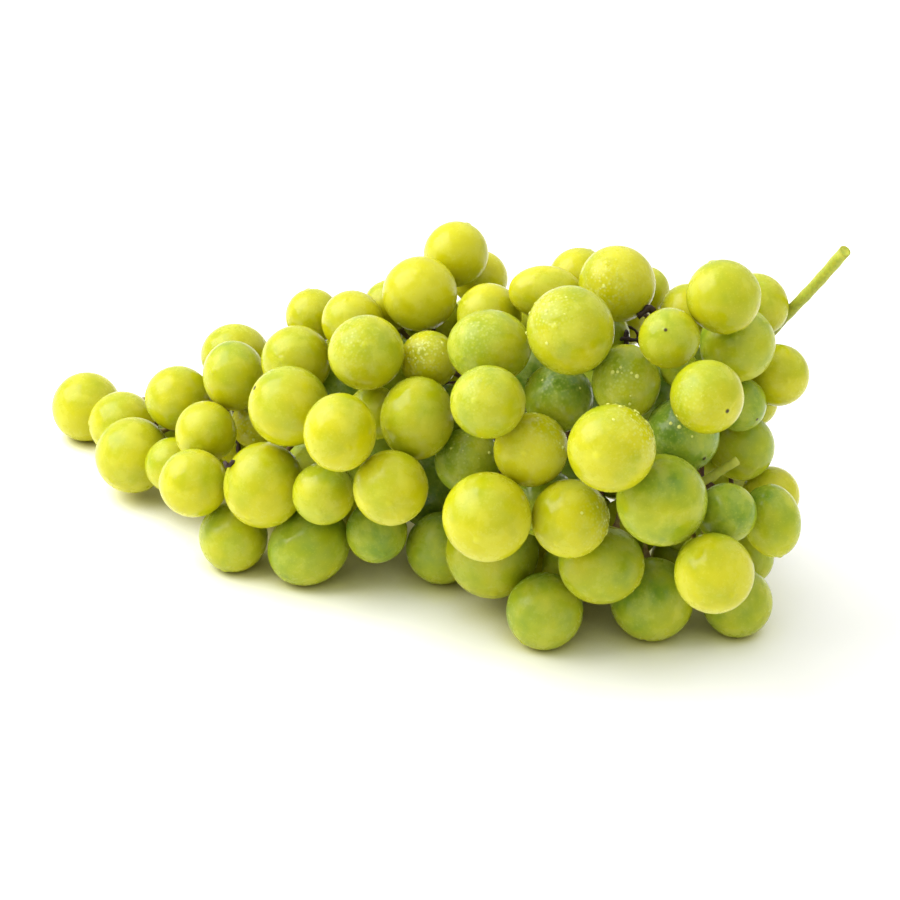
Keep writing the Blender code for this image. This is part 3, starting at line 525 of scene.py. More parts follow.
class Room:
    """The grid of places where side branches may run."""

    def __init__(self, berries, line, stub, picture):
        reach = berries.large[:, None]
        low = (berries.centres - reach).min(axis=0)
        high = (berries.centres + reach).max(axis=0)
        self.counts = np.ceil((high - low) / GRID).astype(int) + 1
        steps = np.meshgrid(*[np.arange(n) for n in self.counts], indexing="ij")
        self.points = low + np.stack(steps, axis=-1).reshape(-1, 3) * GRID
        self.clear = np.minimum(skin_gap(self.points, berries), self.points[:, 2] + TABLE_EXTRA)
        self.from_stem = line_gap(self.points, line)[0]
        inner = np.zeros(self.counts, bool)
        inner[1:-1, 1:-1, 1:-1] = True
        self.free = inner.reshape(-1) & (self.clear >= BRANCH_ROOM) & (self.from_stem >= ROOT_ZONE[0])
        self.free &= outside(self.points, EDGE_INSET) <= EDGE_LIMIT
        self.free &= line_gap(self.points, stub)[0] > STUB_RADIUS + BRANCH_ROOM
        across, up, _, _ = as_seen(self.points, GRID)
        self.free &= picture.look_up(picture.shown | picture.gaps, across, up)
        wander = np.random.RandomState(HIDDEN_SEED).uniform(1, 1 + WANDER, len(self.clear))
        self.effort = (1 + TIGHT_WEIGHT * (TIGHT_BELOW - self.clear).clip(0, TIGHT_MOST)) * wander
        self.effort[self.in_sight(berries)] *= IN_SIGHT_WEIGHT

    def in_sight(self, berries):
        """Whether each place shows between the berries."""
        across, up, _, depth = as_seen(self.points, GRID)
        shows = np.ones(len(self.points), bool)
        for berry_across, berry_up, radius, berry_depth in zip(*as_seen(berries.centres, berries.small)):
            far = np.hypot(across - berry_across, up - berry_up)
            shows &= (far > radius) | (depth < berry_depth)
        return shows

    def spread(self, free, seeds, only=None):
        """Easiest ways from one seed a spray: how long, from which place, and for which spray."""
        total = len(free)
        cost = np.full(total, np.inf)
        came = np.full(total, -1)
        owner = np.full(total, -1)
        wide, high = int(self.counts[1]), int(self.counts[2])
        moves = []
        for i, j, k in np.ndindex(3, 3, 3):
            if (i, j, k) != (1, 1, 1):
                jump = ((i - 1) * wide + j - 1) * high + k - 1
                moves.append((jump, GRID * math.dist((i, j, k), (1, 1, 1)) / 2))
        queue = []
        for spray, seed in enumerate(seeds):
            cost[seed] = 0
            owner[seed] = spray
            heapq.heappush(queue, (0.0, seed))
        while queue:
            spent, place = heapq.heappop(queue)
            if spent > cost[place]:
                continue
            for jump, length in moves:
                other = place + jump
                if not free[other] or (only is not None and only[other] != owner[place]):
                    continue
                new = spent + length * (self.effort[place] + self.effort[other])
                if new < cost[other]:
                    cost[other] = new
                    came[other] = place
                    owner[other] = owner[place]
                    heapq.heappush(queue, (new, other))
        return cost, came, owner

    def borders(self, owner):
        """Places next to those of another spray."""
        grid = owner.reshape(self.counts)
        border = np.zeros(self.counts, bool)
        for axis in range(3):
            ahead = [slice(None)] * 3
            behind = [slice(None)] * 3
            ahead[axis] = slice(1, None)
            behind[axis] = slice(None, -1)
            one, other = grid[tuple(ahead)], grid[tuple(behind)]
            differ = (one != other) & (one >= 0) & (other >= 0)
            border[tuple(ahead)] |= differ
            border[tuple(behind)] |= differ
        return border.reshape(-1)

    def find_ways(self, roots):
        """Shares the free places out among the sprays, then finds the ways within each share."""
        seeds = []
        for point, _, facing in roots:
            away = self.points - point
            far = np.linalg.norm(away, axis=1)
            near = np.nonzero(self.free & (far < ROOT_SEARCH) & (self.from_stem < ROOT_ZONE[1]))[0]
            score = far[near] + ROOT_TURN_WEIGHT * (1 - away[near] @ facing / far[near])
            score -= ROOT_CLEAR_WEIGHT * self.clear[near].clip(0, ROOT_CLEAR_MOST)
            seeds.append(int(near[np.argmin(score)]))
        owner = self.spread(self.free.tolist(), seeds)[2]
        kept = self.free & ~self.borders(owner)
        kept[seeds] = True
        return (seeds,) + self.spread(kept.tolist(), seeds, owner)


def way_is_clear(a, b, berries, own):
    """Whether the straight way from a to b keeps clear of every berry but its own."""
    spots = a + np.linspace(0, 1, PEDICEL_CHECKS)[:, None] * (b - a)
    return all(k == own or berries.gap(k, spots)[0].min() >= PEDICEL_ROOM for k in range(len(berries)))


def join_place(room, cost, berries, line, centre, reach, own):
    """The free place that a stalk from this centre goes to, or None."""
    known = np.nonzero(np.isfinite(cost))[0]
    away = room.points[known] - centre
    far = np.linalg.norm(away, axis=1)
    inward = unit(line[np.argmin(np.linalg.norm(line[:RACHIS_STOPS] - centre, axis=1))] - centre)
    score = cost[known] + PEDICEL_LENGTH_WEIGHT * far * room.effort[known].clip(1, IN_SIGHT_WEIGHT)
    score += PEDICEL_INWARD_WEIGHT * (1 - away @ inward / np.maximum(far, TINY))
    for search in PEDICEL_SEARCH:
        near = np.nonzero((far > reach + PEDICEL_LEAST) & (far < reach + search))[0]
        for k in near[np.argsort(score[near])][:PEDICEL_TRIES]:
            start = centre + unit(away[k]) * reach
            if way_is_clear(start, room.points[known[k]], berries, own):
                return int(known[k])
    return None


class Tree:
    """The side branches of all sprays: points, what each hangs on, its spray and the berry it ends in."""

    def __init__(self):
        self.points = []
        self.parent = []
        self.spray = []
        self.berry = []
        self.held = []

    def add(self, point, parent, spray, berry=-1, held=False):
        self.points.append(np.array(point, float))
        self.parent.append(parent)
        self.spray.append(spray)
        self.berry.append(berry)
        self.held.append(held)
        return len(self.points) - 1


def grow(berries, line, stub, picture):
    """Joins every berry and the stub to the main stem's stations; berries with no way are left out."""
    room = Room(berries, line, stub, picture)
    roots = stations(line)
    seeds, cost, came, owner = room.find_ways(roots)
    tree = Tree()
    at_place = {}
    for spray, ((point, forward, _), seed) in enumerate(zip(roots, seeds)):
        away = room.points[seed] - point
        away = unit(away - forward * (away @ forward))
        root = tree.add(point + away * ROOT_OFFSET, -1, spray, held=True)
        at_place[seed] = tree.add(room.points[seed], root, spray)
    ends = [(berries.centres[k], berries.small[k], k) for k in range(len(berries))]
    ends.append((stub[0], 0.0, -1))
    for centre, reach, own in ends:
        join = join_place(room, cost, berries, line, centre, reach, own)
        if join is None:
            continue
        way = [join]
        while way[-1] not in at_place:
            way.append(int(came[way[-1]]))
        last = at_place[way.pop()]
        for place in reversed(way):
            last = tree.add(room.points[place], last, int(owner[join]))
            at_place[place] = last
        if own >= 0:
            end = centre + unit(room.points[join] - centre) * (reach - PEDICEL_SINK)
            tree.add(end, last, int(owner[join]), own, held=True)
        else:
            for stop in stub:
                last = tree.add(stop, last, int(owner[join]), held=True)
    return tree


def ease(tree, berries, line):
    """Smooths the branches, keeping them clear of berries, the main stem and other sprays."""
    points = np.array(tree.points)
    parent = np.array(tree.parent)
    spray = np.array(tree.spray)
    loose = ~np.array(tree.held)
    child = np.nonzero(parent >= 0)[0]
    kids = np.bincount(parent[child], minlength=len(points)).astype(float)
    for _ in range(EASE_ROUNDS):
        total = np.zeros_like(points)
        total[child] += points[parent[child]]
        np.add.at(total, parent[child], points[child] / kids[parent[child]][:, None])
        weight = (parent >= 0).astype(float) + (kids > 0)
        move = EASE_SHARE * (total / weight[:, None] - points)
        for k in range(len(berries)):
            gap, out = berries.gap(k, points)
            move += out * (EASE_ROOM - gap).clip(0)[:, None]
        gap, out = line_gap(points, line)
        move += out * (EASE_SHARE * (STEM_ROOM - gap).clip(0))[:, None]
        for own in range(spray.max() + 1):
            others = points[spray != own]
            mine = np.nonzero((spray == own) & loose)[0]
            away = points[mine][:, None] - others[None]
            far = np.maximum(np.linalg.norm(away, axis=2), TINY)
            short = (SPRAY_ROOM - far).clip(0)
            move[mine] += (away / far[..., None] * (EASE_SHARE * short)[..., None]).sum(axis=1)
        points[loose] += move[loose]
        points[loose, 2] = np.maximum(points[loose, 2], BRANCH_ROOM)
    return points


def straighten(points):
    """Leaves out the points of a chain that lie close to the straight way between their neighbours."""
    if len(points) < 3:
        return points
    gap = line_gap(points[1:-1], points[[0, -1]])[0]
    worst = int(np.argmax(gap))
    if gap[worst] < STRAIGHTEN:
        return points[[0, -1]]
    return np.concatenate([straighten(points[:worst + 2])[:-1], straighten(points[worst + 1:])])


def chains(tree, points):
    """Cuts the tree into unbranched runs: spray, points from the root side out, and end radii."""
    carried = np.zeros(len(points))
    for k in reversed(range(len(points))):
        carried[k] += 1.0 if tree.berry[k] >= 0 else 0.0
        if tree.parent[k] >= 0:
            carried[tree.parent[k]] += carried[k]
    kids = {}
    for k, parent in enumerate(tree.parent):
        kids.setdefault(parent, []).append(k)
    radii = np.minimum(BRANCH_RADIUS + BRANCH_GROWTH * carried ** BRANCH_POWER, BRANCH_MAX_RADIUS)
    starts = [(k, [k]) for k in kids[-1]]
    runs = []
    while starts:
        last, run = starts.pop()
        while len(kids.get(last, [])) == 1:
            last = kids[last][0]
            run.append(last)
        if len(run) > 1:
            runs.append((tree.spray[last], run))
        starts += [(k, [last, k]) for k in kids.get(last, [])]
    found = []
    for spray, run in runs:
        thick = STUB_RADIUS if carried[run[-1]] == 0 else radii[run[-1]]
        begin = thick if tree.parent[run[0]] >= 0 else radii[run[1]]
        is_root = tree.parent[run[0]] < 0
        found.append((spray, straighten(points[run]), (begin, thick), is_root))
    return found


def lay_bunch():
    """Everything's place, moved so that the middle of the whole box is over the origin."""
    berries = seen_berries()
    picture = Picture(berries)
    line = stem_line(berries)
    stub = np.array([seen_point(*stop) for stop in STUB])
    berries = add_hidden(berries, line, stub, picture)
    tree = grow(berries, line, stub, picture)
    runs = chains(tree, ease(tree, berries, line))
    reach = np.maximum(berries.small, berries.large)[:, None]
    low = np.minimum((berries.centres - reach).min(axis=0), line.min(axis=0))
    high = np.maximum((berries.centres + reach).max(axis=0), line.max(axis=0))
    shift = -(low + high) / 2
    shift[2] = 0.0
    berries.centres += shift
    runs = [(spray, points + shift, ends, is_root) for spray, points, ends, is_root in runs]
    grown_on = {k: spray for k, spray in zip(tree.berry, tree.spray) if k >= 0}
    return berries, grown_on, line + shift, runs


# How ripe each berry that shows looks, in the order of the layers: 0 deep green, 1 full yellow. The values
# are partly the berry's own ripeness and partly painted light and shade: berries lying deep in shade are
# painted greener and darker, and berries that neighbours shade are painted yellower.
RIPENESS_AND_PAINTED_LIGHT = [
    (0.95, 0.85, 0.95, 0.85, 0.7, 0.75, 0.75, 0.7, 0.75, 1.0, 0.95, 0.9),
    (1.0, 0.7, 0.75, 0.8, 0.65, 0.45, 0.6, 0.6, 0.55, 1.0, 1.0, 0.55),
    (0.85, 0.85, 0.9, 0.75, 0.85, 0.35, 0.45, 0.4, 0.45, 0.35, 0.2, 0.4, 0.8, 0.95, 0.75, 1.0, 0.85,
     0.45, 0.3, 0.95, 0.75, 0.9, 0.85, 0.75),
    (0.85, 0.6, 0.45, 0.6, 0.5, 0.5, 0.85, 0.95, 0.7, 1.0, 0.95, 0.85, 0.8, 0.9, 0.95),
    (0.95, 0.4, 1.0, 0.6, 0.1, 0.2, 0.5, 0.6, 0.3, 0.8, 0.3, 0.5, 0.5),
]

# Berries with water on them, by across and up: how thickly it lies, where on the face it gathers, as
# shares of the radius across and up, and how many beads of it are large.
WET = {
    (-5.3, 22.5): (1.0, -0.3, 0.3, 50), (-48.5, 6.5): (1.0, 0.0, 0.3, 50),
    (44.0, 17.0): (0.45, -0.3, 0.1, 8), (30.1, 29.9): (0.6, -0.6, 0.6, 20),
    (40.3, 0.5): (0.7, 0.8, 0.5, 60), (30.0, -17.0): (0.7, 0.95, 0.0, 60),
    (27.0, 13.0): (0.3, -0.2, 0.2, 5), (4.5, -2.8): (0.4, -0.3, 0.4, 6),
    (41.8, 41.5): (0.5, -0.3, 0.0, 10), (20.3, 0.0): (0.4, 0.5, 0.6, 10),
    (58.1, 3.8): (0.15, -0.4, 0.2, 3), (64.3, 13.1): (0.35, -0.7, -0.1, 5),
    (9.5, 12.0): (0.3, -0.4, 0.4, 0), (9.9, 25.8): (0.4, -0.4, 0.5, 0),
    (-21.0, 24.4): (0.4, -0.5, 0.4, 0),
}

# Dry scars that show, by across and up of the berry, then across and up from its middle.
SCARS = {
    (64.3, 13.1): (3.8, -3.1), (72.3, 11.5): (3.7, -3.6), (58.1, 3.8): (4.6, -5.5),
    (54.8, 28.0): (-1.3, 1.5), (50.5, -37.3): (-2.1, -9.5), (80.3, -17.6): (2.0, -7.5),
    (-40.3, 11.0): (-8.0, 4.3),
}

# Pear-shaped berries, by across and up: which way the narrow end leans, and by how much it narrows.
PEARS = {(44.0, 17.0): (90, 0.1), (68.5, 38.3): (-70, 0.1), (37.8, -28.5): (150, 0.06)}

# Dry brown twigs in the gaps: radius, then the places across and up that they pass.
TWIGS = [
    (0.4, (40.8, 33.4), (42.5, 31.4), (45.5, 30.5), (47.0, 29.0), (47.5, 26.3)),
    (0.55, (41.3, 27.5), (43.8, 27.9), (46.0, 27.5)),
    (0.75, (44.0, 28.3), (44.3, 29.6)),
    (0.85, (46.8, 33.5), (48.3, 34.4), (50.3, 35.5)),
    (0.6, (-53.5, 2.7), (-52.9, 0.5), (-53.0, -1.8)),
    (0.6, (-56.5, -2.8), (-55.3, -4.3), (-54.3, -3.0)),
]

# How finely the skin behind a twig is searched for, and how dry a twig is, where 1 is brown.
SKIN_STEP = 0.4
TWIG_AGE = 1.1

# How ripe the hidden berries are, from deep inside, where they get no sun, to the outside: how far they
# lie out of the form, how ripe they are there, and how much each may differ.
SUNLESS_AT = (-0.75, -0.2)
SUNLESS_RIPENESS = (0.05, 0.7)
HIDDEN_SPREAD = 0.15

# Painted glow: the side away from the window, where light would glow out of a berry, is painted yellower in
# its ripeness colour. The values are which way that side is, and how much yellower it is painted than the
# middle.
PAINTED_GLOW_WAY = (0.6, -0.3, -0.74)
PAINTED_GLOW_SIDE = 0.12

# Berry mesh, how much fuller than its plain ball it is, and how uneven: how high its lumps are, how
# closely they follow each other, and how many sets of them cross.
BERRY_SEGMENTS = 24
BERRY_RINGS = 14
FULLNESS = 1.015
LUMPINESS = 0.008
LUMP_WAVES = 2.2
LUMP_SETS = 3

# Ends of a berry a unit in radius: how far up or down the middles of the faces at a pole are, then the
# width and rise of each ring round the scar, and of the one round the dimple that the stalk goes into.
POLE = 0.98
SCAR_RINGS = ((0.1, 0.015), (0.05, -0.03))
STALK_DIMPLE = ((0.08, -0.03),)

# Grain of the skin: veins run from the stalk to the scar, drawn out this much, and start anywhere. Near
# the poles they stop drawing together. Their share of the pattern is small beside the clouds and patches.
VEIN_SHARE = 0.15
GRAIN_LENGTH = 0.35
GRAIN_SPREAD = 50.0
POLE_ROOM = 0.08

# The scars of hidden berries are drawn this much smaller.
FAINT_SCAR = 2.2

# Stalks: rings and sides, how wide the rim of a cut end is and how deep it is dished, and how knotty
# the stem and the dry twigs are. A branch whose tip is this many millimetres deep in a berry, or more,
# is the stalk of that berry.
STALK_RINGS = 14
STALK_SIDES = 10
STEM_RINGS = 90
STEM_SIDES = 16
END_RIM = 0.25
END_DISH = 0.15
STEM_KNOTS = 0.05
STEM_WAVES = 0.9
TWIG_KNOTS = 0.3
TWIG_WAVES = 2.5
TIP_DEPTH = 1.0

# Where the stem's three radii are, and how dry it is along it: 0 green, 1 brown.
STEM_AT = (0.0, 0.75, 1.0)
STEM_AGES_AT = (0.0, 0.7, 0.8, 1.0)
STEM_AGES = (0.75, 0.6, 0.3, 0.1)

# How dry the cut stub is at its foot and its end, and a branch at its foot, and how much less dry it is
# at its tip, as a side branch and as the stalk of a berry.
STUB_AGES = (0.3, 0.05)
BRANCH_AGE = 0.85
BRANCH_YOUNGER = 0.25
STALK_YOUNGER = 0.4

# Swelling of a branch at its fork and of a berry's stalk under the berry.
FORK_SWELL = 0.35
FORK_LENGTH = 1.5
COLLAR_SWELL = 0.9
COLLAR_PLACE = 2.6
COLLAR_LENGTH = 0.9

# The room, in metres: the white board and the hair's breadth it lies under the bunch, light from the
# walls and the ceiling, and the window.
TABLE_SIZE = 4.0
TABLE_DROP = 0.0001
WALL_LIGHT = 0.8
CEILING_LIGHT = 1.4
WINDOW_PLACE = (-0.62, -0.28, 0.77)
WINDOW_SIZE = 0.9
WINDOW_POWER = 12.0
LIGHT_TARGET = (0.0, 0.0, 0.03)

# The camera: width of its film and its lens in millimetres, and the nearest it sees in metres.
FILM_WIDTH = 36.0
LENS = 112.0
NEAREST = 0.01

# Beads of water: how wide they and the mist between them spread, as shares of the berry's radius, how
# large they are in millimetres and how much oftener small, how deep they sit, how far down the berry they
# hang on, how high they are for their width, and where they are cut off below.
DROP_SPREAD = 0.4
MIST_SPREAD = 0.75
DROP_SIZES = (0.2, 0.6)
DROP_SKEW = 1.5
DROP_SEAT = 0.985
DROP_LOWEST = -0.5
DROP_HEIGHT = 0.62
DROP_FOOT = -0.2

# A mark set near the edge of a berry still turns a little to the eye: the least square of how far it
# stands forward of the berry's middle, in square millimetres.
LEAST_FORWARD = 0.1


def lin(hex_colour):
    """A colour in sRGB hex as linear red, green, blue and alpha."""
    parts = [int(hex_colour[k:k + 2], 16) / 255 for k in (1, 3, 5)]
    return [p / 12.92 if p <= 0.04045 else ((p + 0.055) / 1.055) ** 2.4 for p in parts] + [1.0]


def node(tree, kind, links=(), **settings):
    """Adds a node; settings are its own or its sockets' values, links pairs of socket and source."""
    made = tree.nodes.new(kind)
    sockets = settings.pop("sockets", {})
    for name, value in settings.items():
        setattr(made, name, value)
    for name, value in sockets.items():
        made.inputs[name].default_value = value
    for name, source in links:
        tree.links.new(source, made.inputs[name])
    return made


def new_material(name):
    """A new material, its nodes and its shader."""
    made = bpy.data.materials.new(name)
    made.use_nodes = True
    return made, made.node_tree, made.node_tree.nodes["Principled BSDF"]


def set_ramp(ramp, stops):
    """Gives a colour ramp its stops, as places and colours."""
    elements = ramp.color_ramp.elements
    while len(elements) > 1:
        elements.remove(elements[-1])
    elements[0].position = stops[0][0]
    elements[0].color = stops[0][1]
    for place, colour in stops[1:]:
        elements.new(place).color = colour


def grape_skin():
    """Grape skin: thin, translucent and waxy, so light glows in it under a soft broken shine."""
    made, tree, shader = new_material("grape_skin")
    place = node(tree, "ShaderNodeTexCoord").outputs["Object"]
    grain = node(tree, "ShaderNodeAttribute", attribute_name="grain").outputs["Vector"]
    facts = node(tree, "ShaderNodeAttribute", attribute_name="berry")
    split = node(tree, "ShaderNodeSeparateColor", [("Color", facts.outputs["Color"])])
    # The first value is ripeness with painted light and shade in it, and a painted glow on the side away
    # from the window.
    ripe, scar, wet = split.outputs[0], split.outputs[1], split.outputs[2]
    # Clouds of riper flesh about 9 mm across, and veins of it from the stalk to the scar about 3 mm apart.
    clouds = node(tree, "ShaderNodeTexNoise", [("Vector", place)], sockets={"Scale": 110.0, "Detail": 3.0})
    veins = node(tree, "ShaderNodeTexNoise", [("Vector", grain)],
                 sockets={"Scale": 3.2, "Detail": 4.0, "Roughness": 0.6})
    uneven = node(tree, "ShaderNodeMix", [(2, clouds.outputs["Fac"]), (3, veins.outputs["Fac"])],
                  data_type="FLOAT", sockets={0: VEIN_SHARE})
    drift = node(tree, "ShaderNodeMath", [(0, uneven.outputs[0])],
                 operation="MULTIPLY_ADD", sockets={1: 1.3, 2: -0.65})
    ripeness_and_light = node(tree, "ShaderNodeMath", [(0, ripe), (1, drift.outputs[0])],
                    operation="ADD", use_clamp=True)
    flesh = node(tree, "ShaderNodeValToRGB", [("Fac", ripeness_and_light.outputs[0])])
    set_ramp(flesh, [
        (0.0, lin("#587726")), (0.25, lin("#738E22")), (0.5, lin("#93A016")), (0.7, lin("#A3A80A")),
        (0.9, lin("#AEAD04")), (1.0, lin("#B7B404")),
    ])
    # Pale breathing pores about 0.8 mm apart.
    pores = node(tree, "ShaderNodeTexVoronoi", [("Vector", place)], sockets={"Scale": 1200.0})
    pore = node(tree, "ShaderNodeMapRange", [("Value", pores.outputs["Distance"])],
                sockets={"From Min": 0.3, "From Max": 0.12, "To Max": 0.18})
    spotted = node(tree, "ShaderNodeMix", [("Factor", pore.outputs[0]), (6, flesh.outputs["Color"])],
                   data_type="RGBA", sockets={7: lin("#DADA4C")})
    # Wax bloom, rubbed off in patches about 6 mm across and in streaks.
    patches = node(tree, "ShaderNodeTexNoise", [("Vector", place)],
                   sockets={"Scale": 170.0, "Detail": 5.0, "Roughness": 0.65})
    wax = node(tree, "ShaderNodeMix", [(2, patches.outputs["Fac"]), (3, veins.outputs["Fac"])],
               data_type="FLOAT", sockets={0: VEIN_SHARE})
    bloom = node(tree, "ShaderNodeMapRange", [("Value", wax.outputs[0])],
                 sockets={"From Min": 0.42, "From Max": 0.66, "To Max": 0.32})
    waxed = node(tree, "ShaderNodeMix", [("Factor", bloom.outputs[0]), (6, spotted.outputs[2])],
                 data_type="RGBA", sockets={7: lin("#D0D258")})
    # Frosting of fine mist where the berry is wet, beads about 0.9 mm apart. The mist and its bumps are
    # real; its pale specks are painted glints of the beads.
    mist = node(tree, "ShaderNodeTexVoronoi", [("Vector", place)], sockets={"Scale": 1100.0})
    beads = node(tree, "ShaderNodeMapRange", [("Value", mist.outputs["Distance"])],
                 sockets={"From Min": 0.5, "From Max": 0.15})
    frosting = node(tree, "ShaderNodeMath", [(0, beads.outputs[0]), (1, wet)], operation="MULTIPLY")
    misted_with_painted_glints = node(tree, "ShaderNodeMix", [("Factor", frosting.outputs[0]), (6, waxed.outputs[2])],
                   data_type="RGBA", sockets={7: lin("#CBD27C")})
    # The dry scar at the far end from the stalk, about 1 mm across.
    dry = node(tree, "ShaderNodeMapRange", [("Value", scar)], sockets={"From Min": 0.08, "From Max": 0.04})
    skin = node(tree, "ShaderNodeMix", [("Factor", dry.outputs[0]), (6, misted_with_painted_glints.outputs[2])],
                data_type="RGBA", sockets={7: lin("#3A2C12")})
    tree.links.new(skin.outputs[2], shader.inputs["Base Color"])
    shine = node(tree, "ShaderNodeMapRange", [("Value", wax.outputs[0])],
                 sockets={"From Min": 0.38, "From Max": 0.62, "To Min": 0.12, "To Max": 0.36})
    tree.links.new(shine.outputs[0], shader.inputs["Roughness"])
    # Skin that is faintly uneven every 2 mm or so, with the mist standing up from it.
    rough = node(tree, "ShaderNodeTexNoise", [("Vector", place)], sockets={"Scale": 500.0, "Detail": 3.0})
    height = node(tree, "ShaderNodeMath", [(0, rough.outputs["Fac"]), (2, frosting.outputs[0])],
                  operation="MULTIPLY_ADD", sockets={1: 0.5})
    bump = node(tree, "ShaderNodeBump", [("Height", height.outputs[0])],
                sockets={"Strength": 0.35, "Distance": 0.0003})
    tree.links.new(bump.outputs["Normal"], shader.inputs["Normal"])
    shader.inputs["IOR"].default_value = 1.4
    shader.inputs["Specular IOR Level"].default_value = 0.36
    shader.inputs["Subsurface Weight"].default_value = 0.75
    shader.inputs["Subsurface Radius"].default_value = (1.0, 0.9, 0.3)
    shader.inputs["Subsurface Scale"].default_value = 0.009
    return made


def grape_stalk():
    """Grape stalk: green wood that dries brown and corky in flecks and where it branches."""
    made, tree, shader = new_material("grape_stalk")
    place = node(tree, "ShaderNodeTexCoord").outputs["Object"]
    age = node(tree, "ShaderNodeAttribute", attribute_name="age").outputs["Fac"]
    # Cork flecks about 1.5 mm across.
    cork = node(tree, "ShaderNodeTexNoise", [("Vector", place)],
                sockets={"Scale": 650.0, "Detail": 4.0, "Roughness": 0.7})
    spread = node(tree, "ShaderNodeMath", [(0, cork.outputs["Fac"]), (2, age)],
                  operation="MULTIPLY_ADD", sockets={1: 0.7})
    dried = node(tree, "ShaderNodeMath", [(0, spread.outputs[0])],
                 operation="SUBTRACT", use_clamp=True, sockets={1: 0.35})
    bark = node(tree, "ShaderNodeValToRGB", [("Fac", dried.outputs[0])])
    set_ramp(bark, [
        (0.0, lin("#BDC23C")), (0.3, lin("#99A234")), (0.5, lin("#7A6428")), (0.7, lin("#4C2A14")),
        (1.0, lin("#2E190C")),
    ])
    tree.links.new(bark.outputs["Color"], shader.inputs["Base Color"])
    bump = node(tree, "ShaderNodeBump", [("Height", cork.outputs["Fac"])],
                sockets={"Strength": 0.5, "Distance": 0.0003})
    tree.links.new(bump.outputs["Normal"], shader.inputs["Normal"])
    shader.inputs["Roughness"].default_value = 0.55
    shader.inputs["Subsurface Weight"].default_value = 0.15
    shader.inputs["Subsurface Scale"].default_value = 0.001
    return made


def water_beads():
    """Water beads, too small to look into, drawn opaque: their pale colour is painted light, standing in for
    light shining through and glinting in clear water. Each also has its own glint.
    """
    made, _, shader = new_material("water_beads")
    # Painted light: a pale base colour in place of clear water.
    shader.inputs["Base Color"].default_value = lin("#CDD26A")
    shader.inputs["Roughness"].default_value = 0.1
    shader.inputs["IOR"].default_value = 1.333
    return made


def white_table():
    """Matt white board with a painted shadow: close under the bunch, where little of the sky is open, it is
    painted darker and yellow green, standing in for shade and for light through the berries.
    """
    made, tree, shader = new_material("white_table")
    open_sky = node(tree, "ShaderNodeAmbientOcclusion", sockets={"Distance": 0.03})
    # Painted shadow: darker and yellow green the less sky is open over a spot.
    painted_shadow = node(tree, "ShaderNodeValToRGB", [("Fac", open_sky.outputs["AO"])])
    set_ramp(painted_shadow, [
        (0.0, lin("#A8A034")), (0.25, lin("#DCD89A")), (0.5, lin("#F4F3E6")), (0.8, lin("#F9F9F7")),
    ])
    tree.links.new(painted_shadow.outputs["Color"], shader.inputs["Base Color"])
    shader.inputs["Roughness"].default_value = 0.7
    return made


def select_only(*things):
    """Selects these things alone and makes the first the active one."""
    for other in bpy.context.selected_objects:
        other.select_set(False)
    for thing in things:
        thing.select_set(True)
    bpy.context.view_layer.objects.active = things[0]


def select_faces(thing, wanted):
    """In edit mode with only these faces of the object selected, picked by their middles."""
    mesh = thing.data
    for part in (mesh.vertices, mesh.edges, mesh.polygons):
        part.foreach_set("select", [False] * len(part))
    for face in mesh.polygons:
        face.select = wanted(face.center)
    bpy.ops.object.mode_set(mode="EDIT")


def vertex_array(mesh):
    """The places of a mesh's points, one a row."""
    flat = np.empty(len(mesh.vertices) * 3)
    mesh.vertices.foreach_get("co", flat)
    return flat.reshape(-1, 3)


def inset_rings(berry, wanted, rings):
    """Insets the wanted faces ring by ring, each ring this wide, and moves what is inside it this far up."""
    select_faces(berry, wanted)
    for width, rise in rings:
        bpy.ops.mesh.inset(thickness=width)
        bpy.ops.transform.translate(value=(0, 0, rise))
    bpy.ops.object.mode_set(mode="OBJECT")


def model_berry():
    """One berry a unit in radius: stalk end up with a low shoulder, dry scar on a small pit below."""
    bpy.ops.mesh.primitive_uv_sphere_add(segments=BERRY_SEGMENTS, ring_count=BERRY_RINGS, radius=1.0)
    berry = bpy.context.object
    select_only(berry)
    bpy.context.tool_settings.mesh_select_mode = (False, False, True)
    inset_rings(berry, lambda middle: middle.z < -POLE, SCAR_RINGS)
    inset_rings(berry, lambda middle: middle.z > POLE, STALK_DIMPLE)
    smooth = berry.modifiers.new("Smooth", "SUBSURF")
    smooth.levels = 1
    smooth.render_levels = 1
    bpy.ops.object.modifier_apply(modifier="Smooth")
    bpy.ops.object.shade_smooth()
    mesh = berry.data
    places = vertex_array(mesh)
    # Subdividing draws the ball in a little, so it is let out again to the unit it stands for.
    places /= np.abs(places[:, 0]).max()
    mesh.vertices.foreach_set("co", places.reshape(-1))
    mesh.attributes.new("berry", "FLOAT_COLOR", "POINT")
    mesh.attributes.new("grain", "FLOAT_VECTOR", "POINT")
    return berry


def model_drop():
    """One water bead a unit in radius: a dome with its foot sunk into the skin."""
    bpy.ops.mesh.primitive_ico_sphere_add(subdivisions=2, radius=1.0)
    drop = bpy.context.object
    select_only(drop)
    bpy.ops.object.mode_set(mode="EDIT")
    bpy.ops.mesh.select_all(action="SELECT")
    bpy.ops.transform.resize(value=(1, 1, DROP_HEIGHT))
    bpy.ops.mesh.bisect(plane_co=(0, 0, DROP_FOOT), plane_no=(0, 0, 1), clear_inner=True, use_fill=True)
    bpy.ops.object.mode_set(mode="OBJECT")
    bpy.ops.object.shade_smooth()
    return drop


